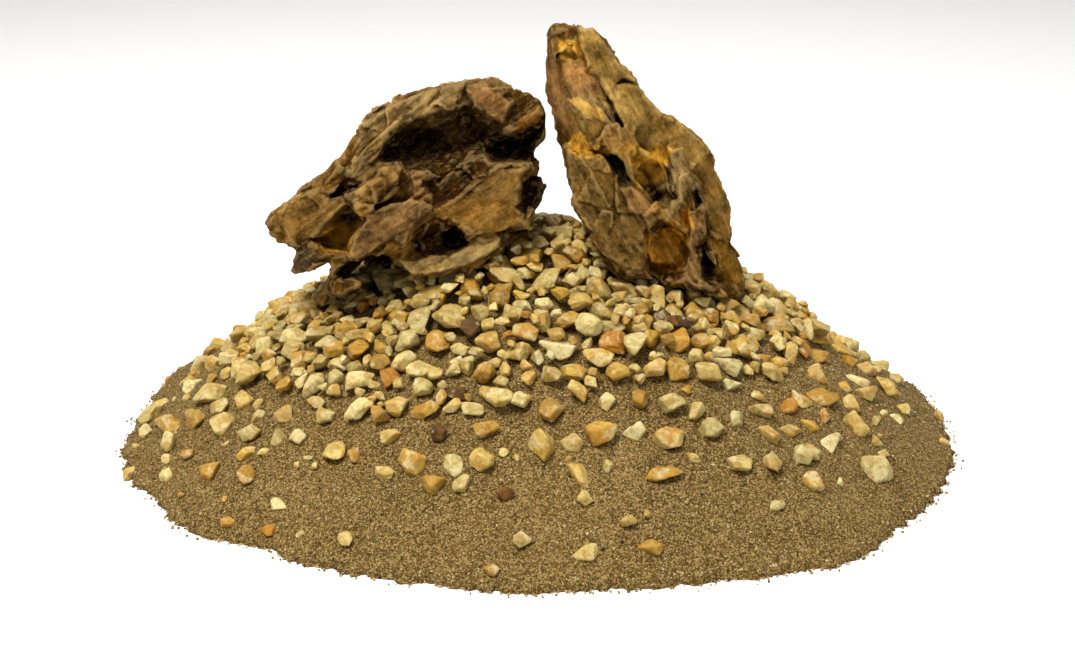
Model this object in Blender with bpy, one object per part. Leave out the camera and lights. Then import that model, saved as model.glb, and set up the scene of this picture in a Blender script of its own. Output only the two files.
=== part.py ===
"""Aquarium hardscape display: two weathered stones leaning into an arch on a gravel-topped sand mound.

Metres, +Z up. The origin is under the middle of the mound's footprint, on its flat base.
Lengths below are written in millimetres and multiplied by MM where a mesh is made.
"""

import math
import random

import bmesh
import bpy
from mathutils import Matrix, Vector, noise

MM = 0.001

# Sand mound
MOUND_RADIUS = 131.8
MOUND_HEIGHT = 65.0
MOUND_SLOPE = 0.696  # slope of the cone that the flanks run into below the rounded top
MOUND_CENTRE = (0.0, 0.0)
RIM_EDGE = 0.9  # height of the loose edge, about one grain
RIM_RAGGED = 2.0
RIM_LOBES = (  # spilled tongues and bays along the foot: direction and width in degrees, reach
    (-142, 9, 4.5), (-160, 10, 2.5), (-95, 7, 2.5), (-49, 8, 5.0), (172, 14, -4.0), (60, 12, 3.0),
)
SEGMENTS = 64

# Gravel crown
BED_HALF_WIDTH = 88.0
BED_HALF_DEPTH = 62.0
BED_RAGGED = 5.0
BED_RINGS = 8
SLOPE_RINGS = 6
DISH_DEPTH = 3.0
BED_THICKNESS = 5.0
BED_EDGE = 1.4
BED_LUMP = 2.0
BED_LUMP_SIZE = 11.0
BED_HEAP = (74, 6)  # the gravel is banked up behind the right stone's foot
BED_HEAP_RADIUS = 17.0
BED_HEAP_HEIGHT = 4.0

GAP = 0.3  # clearance between neighbouring solids
STONE_GAP = 0.5  # the same under the stones
CONTACT_POINT = (3.4, 107.0)  # where the stones meet, X and Z
CONTACT_TILT = math.radians(12.0)
CONTACT_GAP = 0.8

# Stones: outlines of the widest section, X and Z, clockwise from the left
LEFT_OUTLINE = (
    (-91, 74), (-84, 80), (-79, 85), (-71, 89.5), (-65, 96), (-59.5, 103), (-58, 107.5), (-50, 112.5),
    (-37, 118), (-29, 120.5), (-16, 121), (-8, 118), (0, 114), (2.5, 105), (-0.5, 97), (2.5, 85),
    (1.5, 80), (-2, 74), (-7, 68), (-14, 63), (-23.5, 59), (-37, 56.5), (-47, 56), (-65, 58.7),
    (-68.5, 57), (-71, 47), (-75, 57), (-82, 54.5), (-84, 57), (-80, 62.5), (-86, 65), (-90, 67.5),
)
RIGHT_OUTLINE = (
    (0.7, 125), (1, 132), (1.5, 136.5), (4, 139.5), (7.5, 139.5), (16, 137), (20, 133), (21.5, 130),
    (30, 121.5), (35.5, 113.5), (46, 106), (51.5, 100.5), (56, 93), (60, 83), (63, 72), (62, 66),
    (66, 59), (69, 47), (53, 47), (49.5, 52), (35, 52), (28, 58), (21, 66.5), (14.5, 70.5),
    (10, 78.5), (8.5, 90.5), (6, 99.5), (3.5, 108.5), (1.5, 117),
)
# Sections through a stone from front to back: Y, size against the outline, shift in X and in Z
LEFT_SECTIONS = (
    (-29, 0.42, 0, -7), (-22, 0.80, 0, -5), (-5, 1.0, 0, 0), (12, 0.92, 0, -6), (24, 0.58, 0, -11),
)
RIGHT_SECTIONS = (
    (-30, 0.42, 4, -16), (-22, 0.78, 2, -7), (-5, 1.0, 0, 0), (11, 0.88, 1, -6), (23, 0.5, 3, -16),
)
# Hollows weathered into the stones: centre, radii along X, Y, Z, and tilt about Y in degrees
LEFT_HOLLOWS = (
    ((-28, -25, 106), (23, 15, 9), -8),  # upper cave
    ((-38, -15, 100.5), (10, 15, 6), 0),  # its deep end
    ((-9, -21, 99.5), (7.5, 13, 4), 5),  # right chamber
    ((0, -17, 86), (6, 12, 7), 10),  # round hollow in the right end
    ((-6, -22, 71), (6.5, 12, 4.5), -20),  # notch at the lower right
    ((-28, -24, 72.5), (4.5, 14, 4), 0),  # round hole low in the face
    ((-33, -28, 69), (10, 9, 5), -5),  # pocket around that hole
    ((-64, -20, 88.5), (8, 9, 2.4), -12),  # slit in the left shoulder
    ((-60, -23, 77), (8, 10, 6), -35),  # pocket under the slit
    ((-50, -24, 85.5), (3, 8, 2.5), 0),  # small hole beside the knob
    ((-56, -15, 62), (11, 18, 4.5), 0),  # recess between the leg and the body
)
RIGHT_HOLLOWS = (
    ((8, -14, 134), (3.2, 7, 2.2), 20),  # pit in the tip
    ((21, -19, 113), (1.4, 9, 13), -27),  # crack between the front slab and the back slab
    ((25, -23, 92), (3.4, 11, 7), -30),  # slot
    ((38, -21, 104), (10, 7, 5.5), 10),  # upper bowl
    ((34, -23, 91), (7, 8, 6), 0),  # lower bowl
    ((37, -23, 84), (6, 10, 2), -25),  # crack under the lower bowl
    ((40, -28, 67), (8, 15, 7.5), 0),  # pocket in the foot
    ((54, -17, 62), (3, 14, 6), -15),  # gap beside the hanging spikes
    ((45, -29, 52), (13, 15, 4), 0),  # undercut along the front
)
# Blades and knobs standing proud of the faces, in the same terms
LEFT_LUMPS = (
    ((-44, -26, 76), (14, 6, 6), -25),  # slanting blade
    ((-52, -27, 88), (9, 6, 4), -20),  # knob between the holes
    ((-14, -20, 80), (16, 7, 7), -35),  # smooth flank
)
RIGHT_LUMPS = (
    ((22, -24, 78), (7, 7, 20), -25),  # fibrous front column
    ((52, -20, 80), (4.5, 8, 18), -10),  # pale ridge
    ((61, -8, 56), (7, 10, 11), -20),  # slab at the right foot
)
ROCK_VOXEL = 1.1
LEFT_KEEP = 0.075  # share of the fine faces that Decimate keeps
RIGHT_KEEP = 0.075

# Single pebbles: name, X, Y, length, width, height, turn in degrees
PEBBLES = (
    ("white_pebble_01", -6, -71, 9.5, 6.5, 6.0, 75), ("tan_pebble_01", 3, -75, 12.0, 8.5, 7.0, 100),
    ("honey_pebble_01", 18, -81, 12.0, 8.5, 7.0, 5), ("cream_pebble_01", 38, -80, 11.0, 8.0, 7.0, 25),
    ("honey_pebble_02", 36, -90, 13.0, 5.5, 5.0, -15), ("yellow_pebble_01", -31, -93, 8.0, 6.5, 6.0, 20),
    ("grey_pebble_01", -23, -94, 6.5, 5.5, 5.0, 70), ("cream_pebble_02", -17, -89, 9.5, 8.0, 7.0, 60),
    ("honey_pebble_03", -16, -80, 8.5, 6.5, 6.0, 0), ("brown_pebble_01", -10, -98, 6.5, 5.0, 5.0, 30),
    ("dark_pebble_01", -30, -78, 8.0, 6.0, 6.0, 80), ("dark_pebble_02", -25, -67, 7.5, 5.0, 5.0, 10),
    ("cream_pebble_03", -62, -75, 11.0, 6.0, 5.5, 60), ("cream_pebble_04", -44, -67, 8.5, 7.5, 6.5, 0),
    ("cream_pebble_05", -45, -76, 6.5, 5.5, 5.0, 0), ("cream_pebble_06", -66, -63, 7.5, 6.5, 6.0, 35),
    ("white_pebble_02", -74, -67, 7.0, 5.5, 5.0, 40), ("grey_pebble_02", -91, -58, 8.5, 7.0, 6.0, 0),
    ("ochre_pebble_01", -102, -67, 11.0, 6.0, 5.5, 70), ("ochre_pebble_02", -89, -75, 9.0, 6.0, 5.0, 80),
    ("ochre_pebble_03", -93, -88, 5.0, 4.0, 3.5, 0), ("ochre_pebble_04", -80, -94, 5.0, 4.5, 4.0, 30),
    ("cream_pebble_07", 13, -99, 6.0, 5.0, 4.5, 60), ("cream_pebble_08", 25, -105, 5.5, 4.5, 4.0, 0),
    ("ochre_pebble_05", 31, -111, 8.0, 5.0, 4.0, 10), ("grey_pebble_03", -5, -111, 6.5, 5.0, 4.5, 0),
    ("ochre_pebble_06", -14, -118, 5.5, 4.5, 3.5, 20), ("white_pebble_03", 59, -57, 7.0, 5.5, 5.0, 0),
    ("grey_pebble_04", 67, -63, 8.0, 6.5, 5.5, 15), ("orange_pebble_01", 77, -55, 7.0, 6.5, 5.5, 50),
    ("yellow_pebble_02", 76, -65, 7.0, 5.0, 4.5, 0), ("grey_pebble_05", 59, -84, 8.5, 6.5, 6.0, 10),
    ("grey_pebble_06", 69, -82, 9.0, 7.0, 6.0, 80), ("grey_pebble_07", 79, -74, 8.0, 7.0, 6.0, 0),
    ("grey_pebble_08", 51, -75, 10.0, 8.0, 7.0, 70), ("grey_pebble_09", 40, -69, 10.5, 9.5, 7.5, 0),
    ("honey_pebble_04", 42, -57, 10.5, 7.5, 7.0, 80), ("white_pebble_04", 20, -71, 7.0, 6.0, 6.0, 60),
    ("yellow_pebble_03", 10, -63, 10.0, 8.5, 7.0, 0), ("ochre_pebble_07", 30, -69, 9.5, 6.0, 6.0, 85),
    ("white_pebble_05", 29, -54, 12.5, 7.5, 7.0, 100), ("white_pebble_06", 15, -49, 9.5, 9.0, 7.5, 0),
    ("dark_pebble_03", -22, -48, 7.5, 7.0, 6.0, 0), ("dark_pebble_04", 44, -40, 9.5, 6.0, 5.0, 0),
    ("white_pebble_07", -1, -60, 8.0, 4.5, 5.0, 80), ("white_pebble_08", -36, -57, 11.5, 7.0, 6.5, 10),
    ("cream_pebble_09", -108, -27, 13.0, 8.0, 6.5, 30), ("white_pebble_09", -80, -22, 14.0, 6.5, 6.0, 20),
    ("yellow_pebble_04", 76, -36, 9.0, 7.0, 5.5, 0), ("ochre_pebble_08", 92, -16, 9.5, 6.5, 5.0, 0),
    ("grey_pebble_10", 69, -94, 5.0, 5.0, 4.0, 0), ("ochre_pebble_09", 89, -42, 15.0, 5.0, 4.5, -35),
    ("grey_pebble_11", 107, -56, 4.5, 4.0, 3.5, 0), ("tan_pebble_02", -70, 66, 9.0, 7.0, 6.0, 20),
    ("white_pebble_10", 34, 84, 10.0, 7.0, 6.0, 50), ("honey_pebble_05", 78, 58, 9.0, 6.5, 6.0, 0),
)
HULL_POINTS = 16
BURIED = 0.38  # share of a pebble's height that lies below the surface

COLOURS = {
    "sand": (0.29, 0.18, 0.05),
    "gravel": (0.58, 0.46, 0.22),
    "left_rock": (0.26, 0.15, 0.05),
    "right_rock": (0.35, 0.21, 0.07),
    "white": (0.75, 0.72, 0.55),
    "cream": (0.62, 0.54, 0.30),
    "grey": (0.48, 0.44, 0.30),
    "tan": (0.60, 0.40, 0.16),
    "honey": (0.62, 0.40, 0.10),
    "yellow": (0.66, 0.45, 0.10),
    "orange": (0.55, 0.26, 0.05),
    "ochre": (0.45, 0.28, 0.08),
    "brown": (0.22, 0.11, 0.03),
    "dark": (0.07, 0.04, 0.015),
}


def clear_scene():
    for obj in list(bpy.data.objects):
        bpy.data.objects.remove(obj, do_unlink=True)


def stone_material(name, roughness):
    """A plain mineral surface in one of the named colours."""
    material = bpy.data.materials.get(name) or bpy.data.materials.new(name)
    material.use_nodes = True
    shader = material.node_tree.nodes["Principled BSDF"]
    shader.inputs["Base Color"].default_value = (*COLOURS[name], 1.0)
    shader.inputs["Roughness"].default_value = roughness
    shader.inputs["Metallic"].default_value = 0.0
    return material


def add_object(name, bm, material=None):
    """Turn a bmesh in millimetres into an object in metres."""
    bmesh.ops.recalc_face_normals(bm, faces=bm.faces)
    bmesh.ops.scale(bm, vec=(MM, MM, MM), verts=bm.verts)
    mesh = bpy.data.meshes.new(name)
    bm.to_mesh(mesh)
    bm.free()
    obj = bpy.data.objects.new(name, mesh)
    bpy.context.scene.collection.objects.link(obj)
    if material:
        mesh.materials.append(material)
    return obj


def make_cutter(obj):
    obj.hide_render = True
    obj.display_type = "WIRE"
    return obj


def cut(obj, cutter, operation="DIFFERENCE", overlapping=False):
    boolean = obj.modifiers.new(cutter.name, "BOOLEAN")
    boolean.operation = operation
    boolean.object = cutter
    boolean.solver = "EXACT"
    boolean.use_self = overlapping


# Mound and gravel ---------------------------------------------------------------------------------


def smooth_step(low, high, value):
    share = min(max((value - low) / (high - low), 0.0), 1.0)
    return share * share * (3.0 - 2.0 * share)


def mound_rim(angle):
    """Radius of the sand's foot: a wavy, slightly oval outline with a ragged edge."""
    wave = 1 + 0.068 * math.cos(2 * angle) - 0.029 * math.sin(2 * angle) - 0.014 * math.cos(angle)
    ragged = noise.noise(Vector((9 * math.cos(angle), 9 * math.sin(angle), 1.7)))
    reach = MOUND_RADIUS * wave + RIM_RAGGED * ragged
    for direction, width, lobe in RIM_LOBES:
        turn = math.remainder(angle - math.radians(direction), 2 * math.pi)
        reach += lobe * math.exp(-((turn / math.radians(width)) ** 2))
    return reach


def bed_rim(angle):
    """Radius of the gravel crown's edge."""
    across = math.cos(angle) / BED_HALF_WIDTH
    along = math.sin(angle) / BED_HALF_DEPTH
    ragged = noise.noise(Vector((3 * math.cos(angle), 3 * math.sin(angle), 8.3)))
    return 1.0 / math.hypot(across, along) + BED_RAGGED * ragged


def dome_height(x, y):
    """A cone with a rounded top, stretched to the foot's outline."""
    reach = MOUND_SLOPE * MOUND_RADIUS
    peak = (reach * reach / MOUND_HEIGHT + MOUND_HEIGHT) / 2
    blunt = peak - MOUND_HEIGHT
    share = min(math.hypot(x, y) / mound_rim(math.atan2(y, x)), 1.0)
    return max(peak - math.hypot(reach * share, blunt), 0.0)


def bed_share(x, y):
    return math.hypot(x, y) / bed_rim(math.atan2(y, x))


def sand_height(x, y):
    dish = DISH_DEPTH * (1.0 - smooth_step(0.7, 1.0, bed_share(x, y)))
    return dome_height(x, y) + RIM_EDGE - dish


def bed_height(x, y):
    """Top of the gravel: one to two stones deep, lumpy, thinning out to the crown's edge."""
    share = min(bed_share(x, y), 1.0)
    inside = 1.0 - share ** 5
    lump = noise.noise(Vector((x, y, 0.0)) / BED_LUMP_SIZE) * BED_LUMP
    away = math.hypot(x - BED_HEAP[0], y - BED_HEAP[1]) / BED_HEAP_RADIUS
    lump += BED_HEAP_HEIGHT * math.exp(-away * away)
    return sand_height(x, y) + GAP + BED_EDGE + (BED_THICKNESS + lump) * inside


def surface_height(x, y):
    return bed_height(x, y) if bed_share(x, y) < 1.0 else sand_height(x, y)


def ring(bm, radius_at, height_at):
    """One closed ring of vertices at a radius that depends on the angle."""
    verts = []
    for step in range(SEGMENTS):
        angle = 2 * math.pi * step / SEGMENTS
        x = radius_at(angle) * math.cos(angle)
        y = radius_at(angle) * math.sin(angle)
        verts.append(bm.verts.new((x, y, height_at(x, y))))
    return verts


def join_rings(bm, first, second):
    for step in range(SEGMENTS):
        after = (step + 1) % SEGMENTS
        bm.faces.new((first[step], first[after], second[after], second[step]))


def bed_ring_radius(index):
    return lambda angle: bed_rim(angle) * index / BED_RINGS


def slope_ring_radius(index):
    share = index / SLOPE_RINGS
    return lambda angle: bed_rim(angle) + (mound_rim(angle) - bed_rim(angle)) * share


def field_sheet(bm, height_at, radii):
    """A height field over rings, with a fan in the middle. Returns its outermost ring."""
    centre = bm.verts.new((*MOUND_CENTRE, height_at(*MOUND_CENTRE)))
    previous = None
    for radius_at in radii:
        verts = ring(bm, radius_at, height_at)
        if previous:
            join_rings(bm, previous, verts)
        else:
            for step in range(SEGMENTS):
                bm.faces.new((centre, verts[step], verts[(step + 1) % SEGMENTS]))
        previous = verts
    return previous


def make_sand_mound():
    bm = bmesh.new()
    radii = [bed_ring_radius(i) for i in range(1, BED_RINGS + 1)]
    radii += [slope_ring_radius(i) for i in range(1, SLOPE_RINGS + 1)]
    top_edge = field_sheet(bm, sand_height, radii)
    foot = ring(bm, mound_rim, lambda x, y: 0.0)
    join_rings(bm, top_edge, foot)
    bm.faces.new(foot)
    return add_object("sand_mound", bm, stone_material("sand", 0.9))


def make_gravel_bed():
    bm = bmesh.new()
    radii = [bed_ring_radius(i) for i in range(1, BED_RINGS + 1)]
    top_edge = field_sheet(bm, bed_height, radii)
    low_edge = field_sheet(bm, lambda x, y: sand_height(x, y) + GAP, radii)
    join_rings(bm, top_edge, low_edge)
    return add_object("gravel_bed", bm, stone_material("gravel", 0.55))


def make_ground_cutter():
    """Everything below the gravel's top plus the gap: trims the stones' undersides."""
    bm = bmesh.new()
    radii = [bed_ring_radius(i) for i in range(1, BED_RINGS + 1)]
    top_edge = field_sheet(bm, lambda x, y: bed_height(x, y) + STONE_GAP, radii)
    low_edge = field_sheet(bm, lambda x, y: 0.0, radii)
    join_rings(bm, top_edge, low_edge)
    return make_cutter(add_object("ground_cutter", bm))


# Pebbles ------------------------------------------------------------------------------------------

def pebble_points(seed):
    """Seeded points on a blunt ellipsoid of unit size, whose hull is one pebble."""
    rng = random.Random(seed)
    points = []
    for step in range(HULL_POINTS):
        height = 1.0 - 2.0 * (step + 0.5) / HULL_POINTS
        angle = step * math.pi * (3.0 - math.sqrt(5.0)) + rng.uniform(-0.35, 0.35)
        radius = math.sqrt(1.0 - height * height)
        bulge = rng.uniform(0.88, 1.08)
        points.append(Vector((radius * math.cos(angle), radius * math.sin(angle), height)) * bulge)
    return points


def add_hull(bm, seed, row, grow):
    """The hull of one pebble in its place, grown outwards by a margin on every side."""
    _, x, y, length, width, height, turn = row
    half = Vector((length, width, height)) / 2 + Vector((grow, grow, grow))
    middle = surface_height(x, y) + height * (0.5 - BURIED)
    turned = Matrix.Rotation(math.radians(turn), 3, "Z")
    corners = []
    for point in pebble_points(seed):
        place = turned @ Vector((point.x * half.x, point.y * half.y, point.z * half.z))
        corners.append(bm.verts.new(place + Vector((x, y, middle))))
    hull = bmesh.ops.convex_hull(bm, input=corners)
    loose = [item for item in hull["geom_interior"] if isinstance(item, bmesh.types.BMVert)]
    bmesh.ops.delete(bm, geom=loose, context="VERTS")


def make_pebbles():
    for seed, row in enumerate(PEBBLES):
        bm = bmesh.new()
        add_hull(bm, seed, row, 0.0)
        tone = row[0].split("_")[0]
        add_object(row[0], bm, stone_material(tone, 0.45))


def make_pocket_cutter():
    bm = bmesh.new()
    for seed, row in enumerate(PEBBLES):
        add_hull(bm, seed, row, GAP * 1.3)
    return make_cutter(add_object("pocket_cutter", bm))


# Stones -------------------------------------------------------------------------------------------


def lofted_stone(name, outline, sections, material):
    """A closed body through scaled copies of one outline, from front to back."""
    middle_x = sum(x for x, _ in outline) / len(outline)
    middle_z = sum(z for _, z in outline) / len(outline)
    bm = bmesh.new()
    rings = []
    for y, size, shift_x, shift_z in sections:
        verts = []
        for x, z in outline:
            place_x = middle_x + (x - middle_x) * size + shift_x
            place_z = middle_z + (z - middle_z) * size + shift_z
            verts.append(bm.verts.new((place_x, y, place_z)))
        rings.append(verts)
    for near, far in zip(rings, rings[1:]):
        for step in range(len(outline)):
            after = (step + 1) % len(outline)
            bm.faces.new((near[step], near[after], far[after], far[step]))
    for end in (rings[0], rings[-1]):
        face = bm.faces.new(end)
        bmesh.ops.triangulate(bm, faces=[face])
    return add_object(name, bm, material)


def ellipsoids(name, rows):
    bm = bmesh.new()
    for centre, radii, tilt in rows:
        place = Matrix.Translation(centre) @ Matrix.Rotation(math.radians(tilt), 4, "Y")
        shape = place @ Matrix.Diagonal((*radii, 1.0))
        bmesh.ops.create_icosphere(bm, subdivisions=3, radius=1.0, matrix=shape)
    return make_cutter(add_object(name, bm))


def roughen(obj, size, depth):
    """Displace the surface with a cloud pattern of a given size and depth."""
    texture = bpy.data.textures.new(f"{obj.name}_{size}", "CLOUDS")
    texture.noise_scale = size * MM
    texture.noise_depth = 2
    displace = obj.modifiers.new(f"rough_{size}", "DISPLACE")
    displace.texture = texture
    displace.texture_coords = "GLOBAL"
    displace.strength = depth * MM
    displace.mid_level = 0.5


def remesh(obj, voxel):
    modifier = obj.modifiers.new("one_skin", "REMESH")
    modifier.mode = "VOXEL"
    modifier.voxel_size = voxel * MM


def make_contact_cutter(name, side):
    """A block whose flat face is the contact plane, moved off it by half the contact gap."""
    reach = 200.0
    bm = bmesh.new()
    bmesh.ops.create_cube(bm, size=reach)
    offset = side * (reach + CONTACT_GAP) / 2
    bmesh.ops.translate(bm, vec=(offset, 0, 0), verts=bm.verts)
    turn = Matrix.Rotation(-CONTACT_TILT, 3, "Y")
    bmesh.ops.rotate(bm, matrix=turn, verts=bm.verts)
    bmesh.ops.translate(bm, vec=(CONTACT_POINT[0], 0, CONTACT_POINT[1]), verts=bm.verts)
    return make_cutter(add_object(name, bm))


def make_stone(name, outline, sections, lumps, hollows, keep, ground, contact):
    stone = lofted_stone(name, outline, sections, stone_material(name, 0.85))
    divide = stone.modifiers.new("divide", "SUBSURF")
    divide.subdivision_type = "SIMPLE"
    divide.levels = 2
    divide.render_levels = 2
    roughen(stone, 14.0, 5.0)
    roughen(stone, 5.0, 2.2)
    proud = ellipsoids(f"{name}_lumps", lumps)
    roughen(proud, 6.0, 3.0)
    hollow = ellipsoids(f"{name}_hollows", hollows)
    roughen(hollow, 6.0, 2.5)
    remesh(hollow, ROCK_VOXEL)
    remesh(proud, ROCK_VOXEL)
    remesh(stone, ROCK_VOXEL)
    cut(stone, proud, "UNION")
    cut(stone, hollow)
    remesh(stone, ROCK_VOXEL)
    fewer = stone.modifiers.new("fewer_faces", "DECIMATE")
    fewer.ratio = keep
    cut(stone, ground)
    cut(stone, contact)
    return stone


def main():
    clear_scene()
    mound = make_sand_mound()
    bed = make_gravel_bed()
    pockets = make_pocket_cutter()
    cut(mound, pockets, overlapping=True)
    cut(bed, pockets, overlapping=True)
    make_pebbles()
    ground = make_ground_cutter()
    make_stone("left_rock", LEFT_OUTLINE, LEFT_SECTIONS, LEFT_LUMPS, LEFT_HOLLOWS, LEFT_KEEP,
               ground, make_contact_cutter("left_contact", 1))
    make_stone("right_rock", RIGHT_OUTLINE, RIGHT_SECTIONS, RIGHT_LUMPS, RIGHT_HOLLOWS, RIGHT_KEEP,
               ground, make_contact_cutter("right_contact", -1))


main()
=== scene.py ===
"""Looks for the aquarium stone arch: two weathered stones, a quartz gravel crown and a sand mound.

The stones are carved on a grid of signed distances that starts from each CAD stone, so they keep its
place and size. The gravel is dropped pebble by pebble onto the CAD surface. Metres outside, and
millimetres inside the carving, where MM turns one into the other.
"""

import math

import bmesh
import bpy
import numpy as np
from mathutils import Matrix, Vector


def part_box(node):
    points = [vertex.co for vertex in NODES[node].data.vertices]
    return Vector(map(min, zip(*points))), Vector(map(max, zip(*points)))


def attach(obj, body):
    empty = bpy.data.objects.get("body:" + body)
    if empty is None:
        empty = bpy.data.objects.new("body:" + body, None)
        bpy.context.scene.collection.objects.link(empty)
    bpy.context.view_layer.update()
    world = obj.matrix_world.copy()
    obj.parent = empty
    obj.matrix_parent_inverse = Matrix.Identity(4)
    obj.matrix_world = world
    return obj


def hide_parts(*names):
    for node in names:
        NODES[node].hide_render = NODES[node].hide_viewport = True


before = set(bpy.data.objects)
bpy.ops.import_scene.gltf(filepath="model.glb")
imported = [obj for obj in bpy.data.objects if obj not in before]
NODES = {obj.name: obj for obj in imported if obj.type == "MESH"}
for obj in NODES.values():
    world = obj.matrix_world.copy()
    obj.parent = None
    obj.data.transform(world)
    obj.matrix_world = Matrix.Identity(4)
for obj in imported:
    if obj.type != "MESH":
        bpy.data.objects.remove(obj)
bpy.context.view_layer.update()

import openvdb
from mathutils import Euler, Matrix, Vector
from mathutils.bvhtree import BVHTree
from mathutils.kdtree import KDTree

MM = 0.001
STONE_VOXEL = 0.5  # grid pitch of a carved stone


# Noise ---------------------------------------------------------------------------------------------


def lattice_gradients(seed, count=256):
    rng = np.random.default_rng(seed)
    vectors = rng.normal(size=(count, 3)).astype(np.float32)
    return vectors / np.linalg.norm(vectors, axis=1, keepdims=True)


GRADIENTS = lattice_gradients(7)


def lattice_hash(x, y, z, seed):
    mixed = x * np.uint32(374761393) + y * np.uint32(668265263) + z * np.uint32(2147483647)
    mixed = mixed + np.uint32(seed * 974711 + 11)
    mixed = (mixed ^ (mixed >> np.uint32(13))) * np.uint32(1274126177)
    return mixed ^ (mixed >> np.uint32(16))


def gradient_noise(points, seed=0):
    """Smooth noise from about -1 to 1 at points given in lattice units, one row each."""
    cell = np.floor(points)
    part = (points - cell).astype(np.float32)
    cell = cell.astype(np.int64).astype(np.uint32)
    ease = part * part * part * (part * (part * 6 - 15) + 10)
    total = np.zeros(len(points), np.float32)
    for corner in range(8):
        dx, dy, dz = corner & 1, corner >> 1 & 1, corner >> 2 & 1
        index = lattice_hash(cell[:, 0] + np.uint32(dx), cell[:, 1] + np.uint32(dy),
                             cell[:, 2] + np.uint32(dz), seed) & np.uint32(255)
        slope = GRADIENTS[index]
        reach = (slope[:, 0] * (part[:, 0] - dx) + slope[:, 1] * (part[:, 1] - dy)
                 + slope[:, 2] * (part[:, 2] - dz))
        share = ((ease[:, 0] if dx else 1 - ease[:, 0]) * (ease[:, 1] if dy else 1 - ease[:, 1])
                 * (ease[:, 2] if dz else 1 - ease[:, 2]))
        total += share * reach
    return total * 1.6


def layered_noise(points, size, octaves, seed, gain=0.5):
    """Noise of several sizes, each half the one before. size is the largest, in the points' units."""
    total = np.zeros(len(points), np.float32)
    weight = 1.0
    for octave in range(octaves):
        total += weight * gradient_noise(points * (2 ** octave / size), seed + 17 * octave)
        weight *= gain
    return total


def facets(points, size, seed):
    """Flat-sided chips: each point takes the tilt of its nearest chip, so creases part the chips."""
    scaled = points / size
    cell = np.floor(scaled)
    whole = cell.astype(np.int64).astype(np.uint32)
    nearest = np.full(len(points), 1e6, np.float32)
    tilt = np.zeros(len(points), np.float32)
    for number in range(27):
        step = np.array([number % 3 - 1, number // 3 % 3 - 1, number // 9 - 1])
        there = whole + step.astype(np.int64).astype(np.uint32)
        index = lattice_hash(there[:, 0], there[:, 1], there[:, 2], seed)
        away = scaled - cell - step - 0.5 - 0.42 * GRADIENTS[index & np.uint32(255)]
        distance = (away * away).sum(1)
        closer = distance < nearest
        nearest[closer] = distance[closer]
        slope = GRADIENTS[(index[closer] >> np.uint32(8)) & np.uint32(255)]
        tilt[closer] = (away[closer] * slope).sum(1)
    return tilt


def plates(points, normal, thick, spread, seed):
    """Stacked plates across a normal, each with its own long outline, so their edges make ledges."""
    turn = np.array(Vector((0, 0, 1)).rotation_difference(Vector(normal)).to_matrix(), np.float32)
    local = points @ turn
    local[:, 2] += 0.35 * thick * gradient_noise(points / (thick * 4), seed)
    number = np.floor(local[:, 2] / thick + 0.45 * gradient_noise(
        np.stack([local[:, 2] / (thick * 3), local[:, 0] * 0, local[:, 0] * 0], 1), seed + 1))
    return gradient_noise(
        np.stack([number * 7.37, local[:, 0] / (spread * 2.2), local[:, 1] / spread], 1), seed + 2)


# Carving -------------------------------------------------------------------------------------------


def mesh_arrays(obj):
    """Vertices in millimetres and triangles of an object whose place is in its mesh."""
    mesh = obj.data
    mesh.calc_loop_triangles()
    points = np.zeros(len(mesh.vertices) * 3, np.float32)
    mesh.vertices.foreach_get("co", points)
    corners = np.zeros(len(mesh.loop_triangles) * 3, np.int32)
    mesh.loop_triangles.foreach_get("vertices", corners)
    return points.reshape(-1, 3) / MM, corners.reshape(-1, 3)


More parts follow.
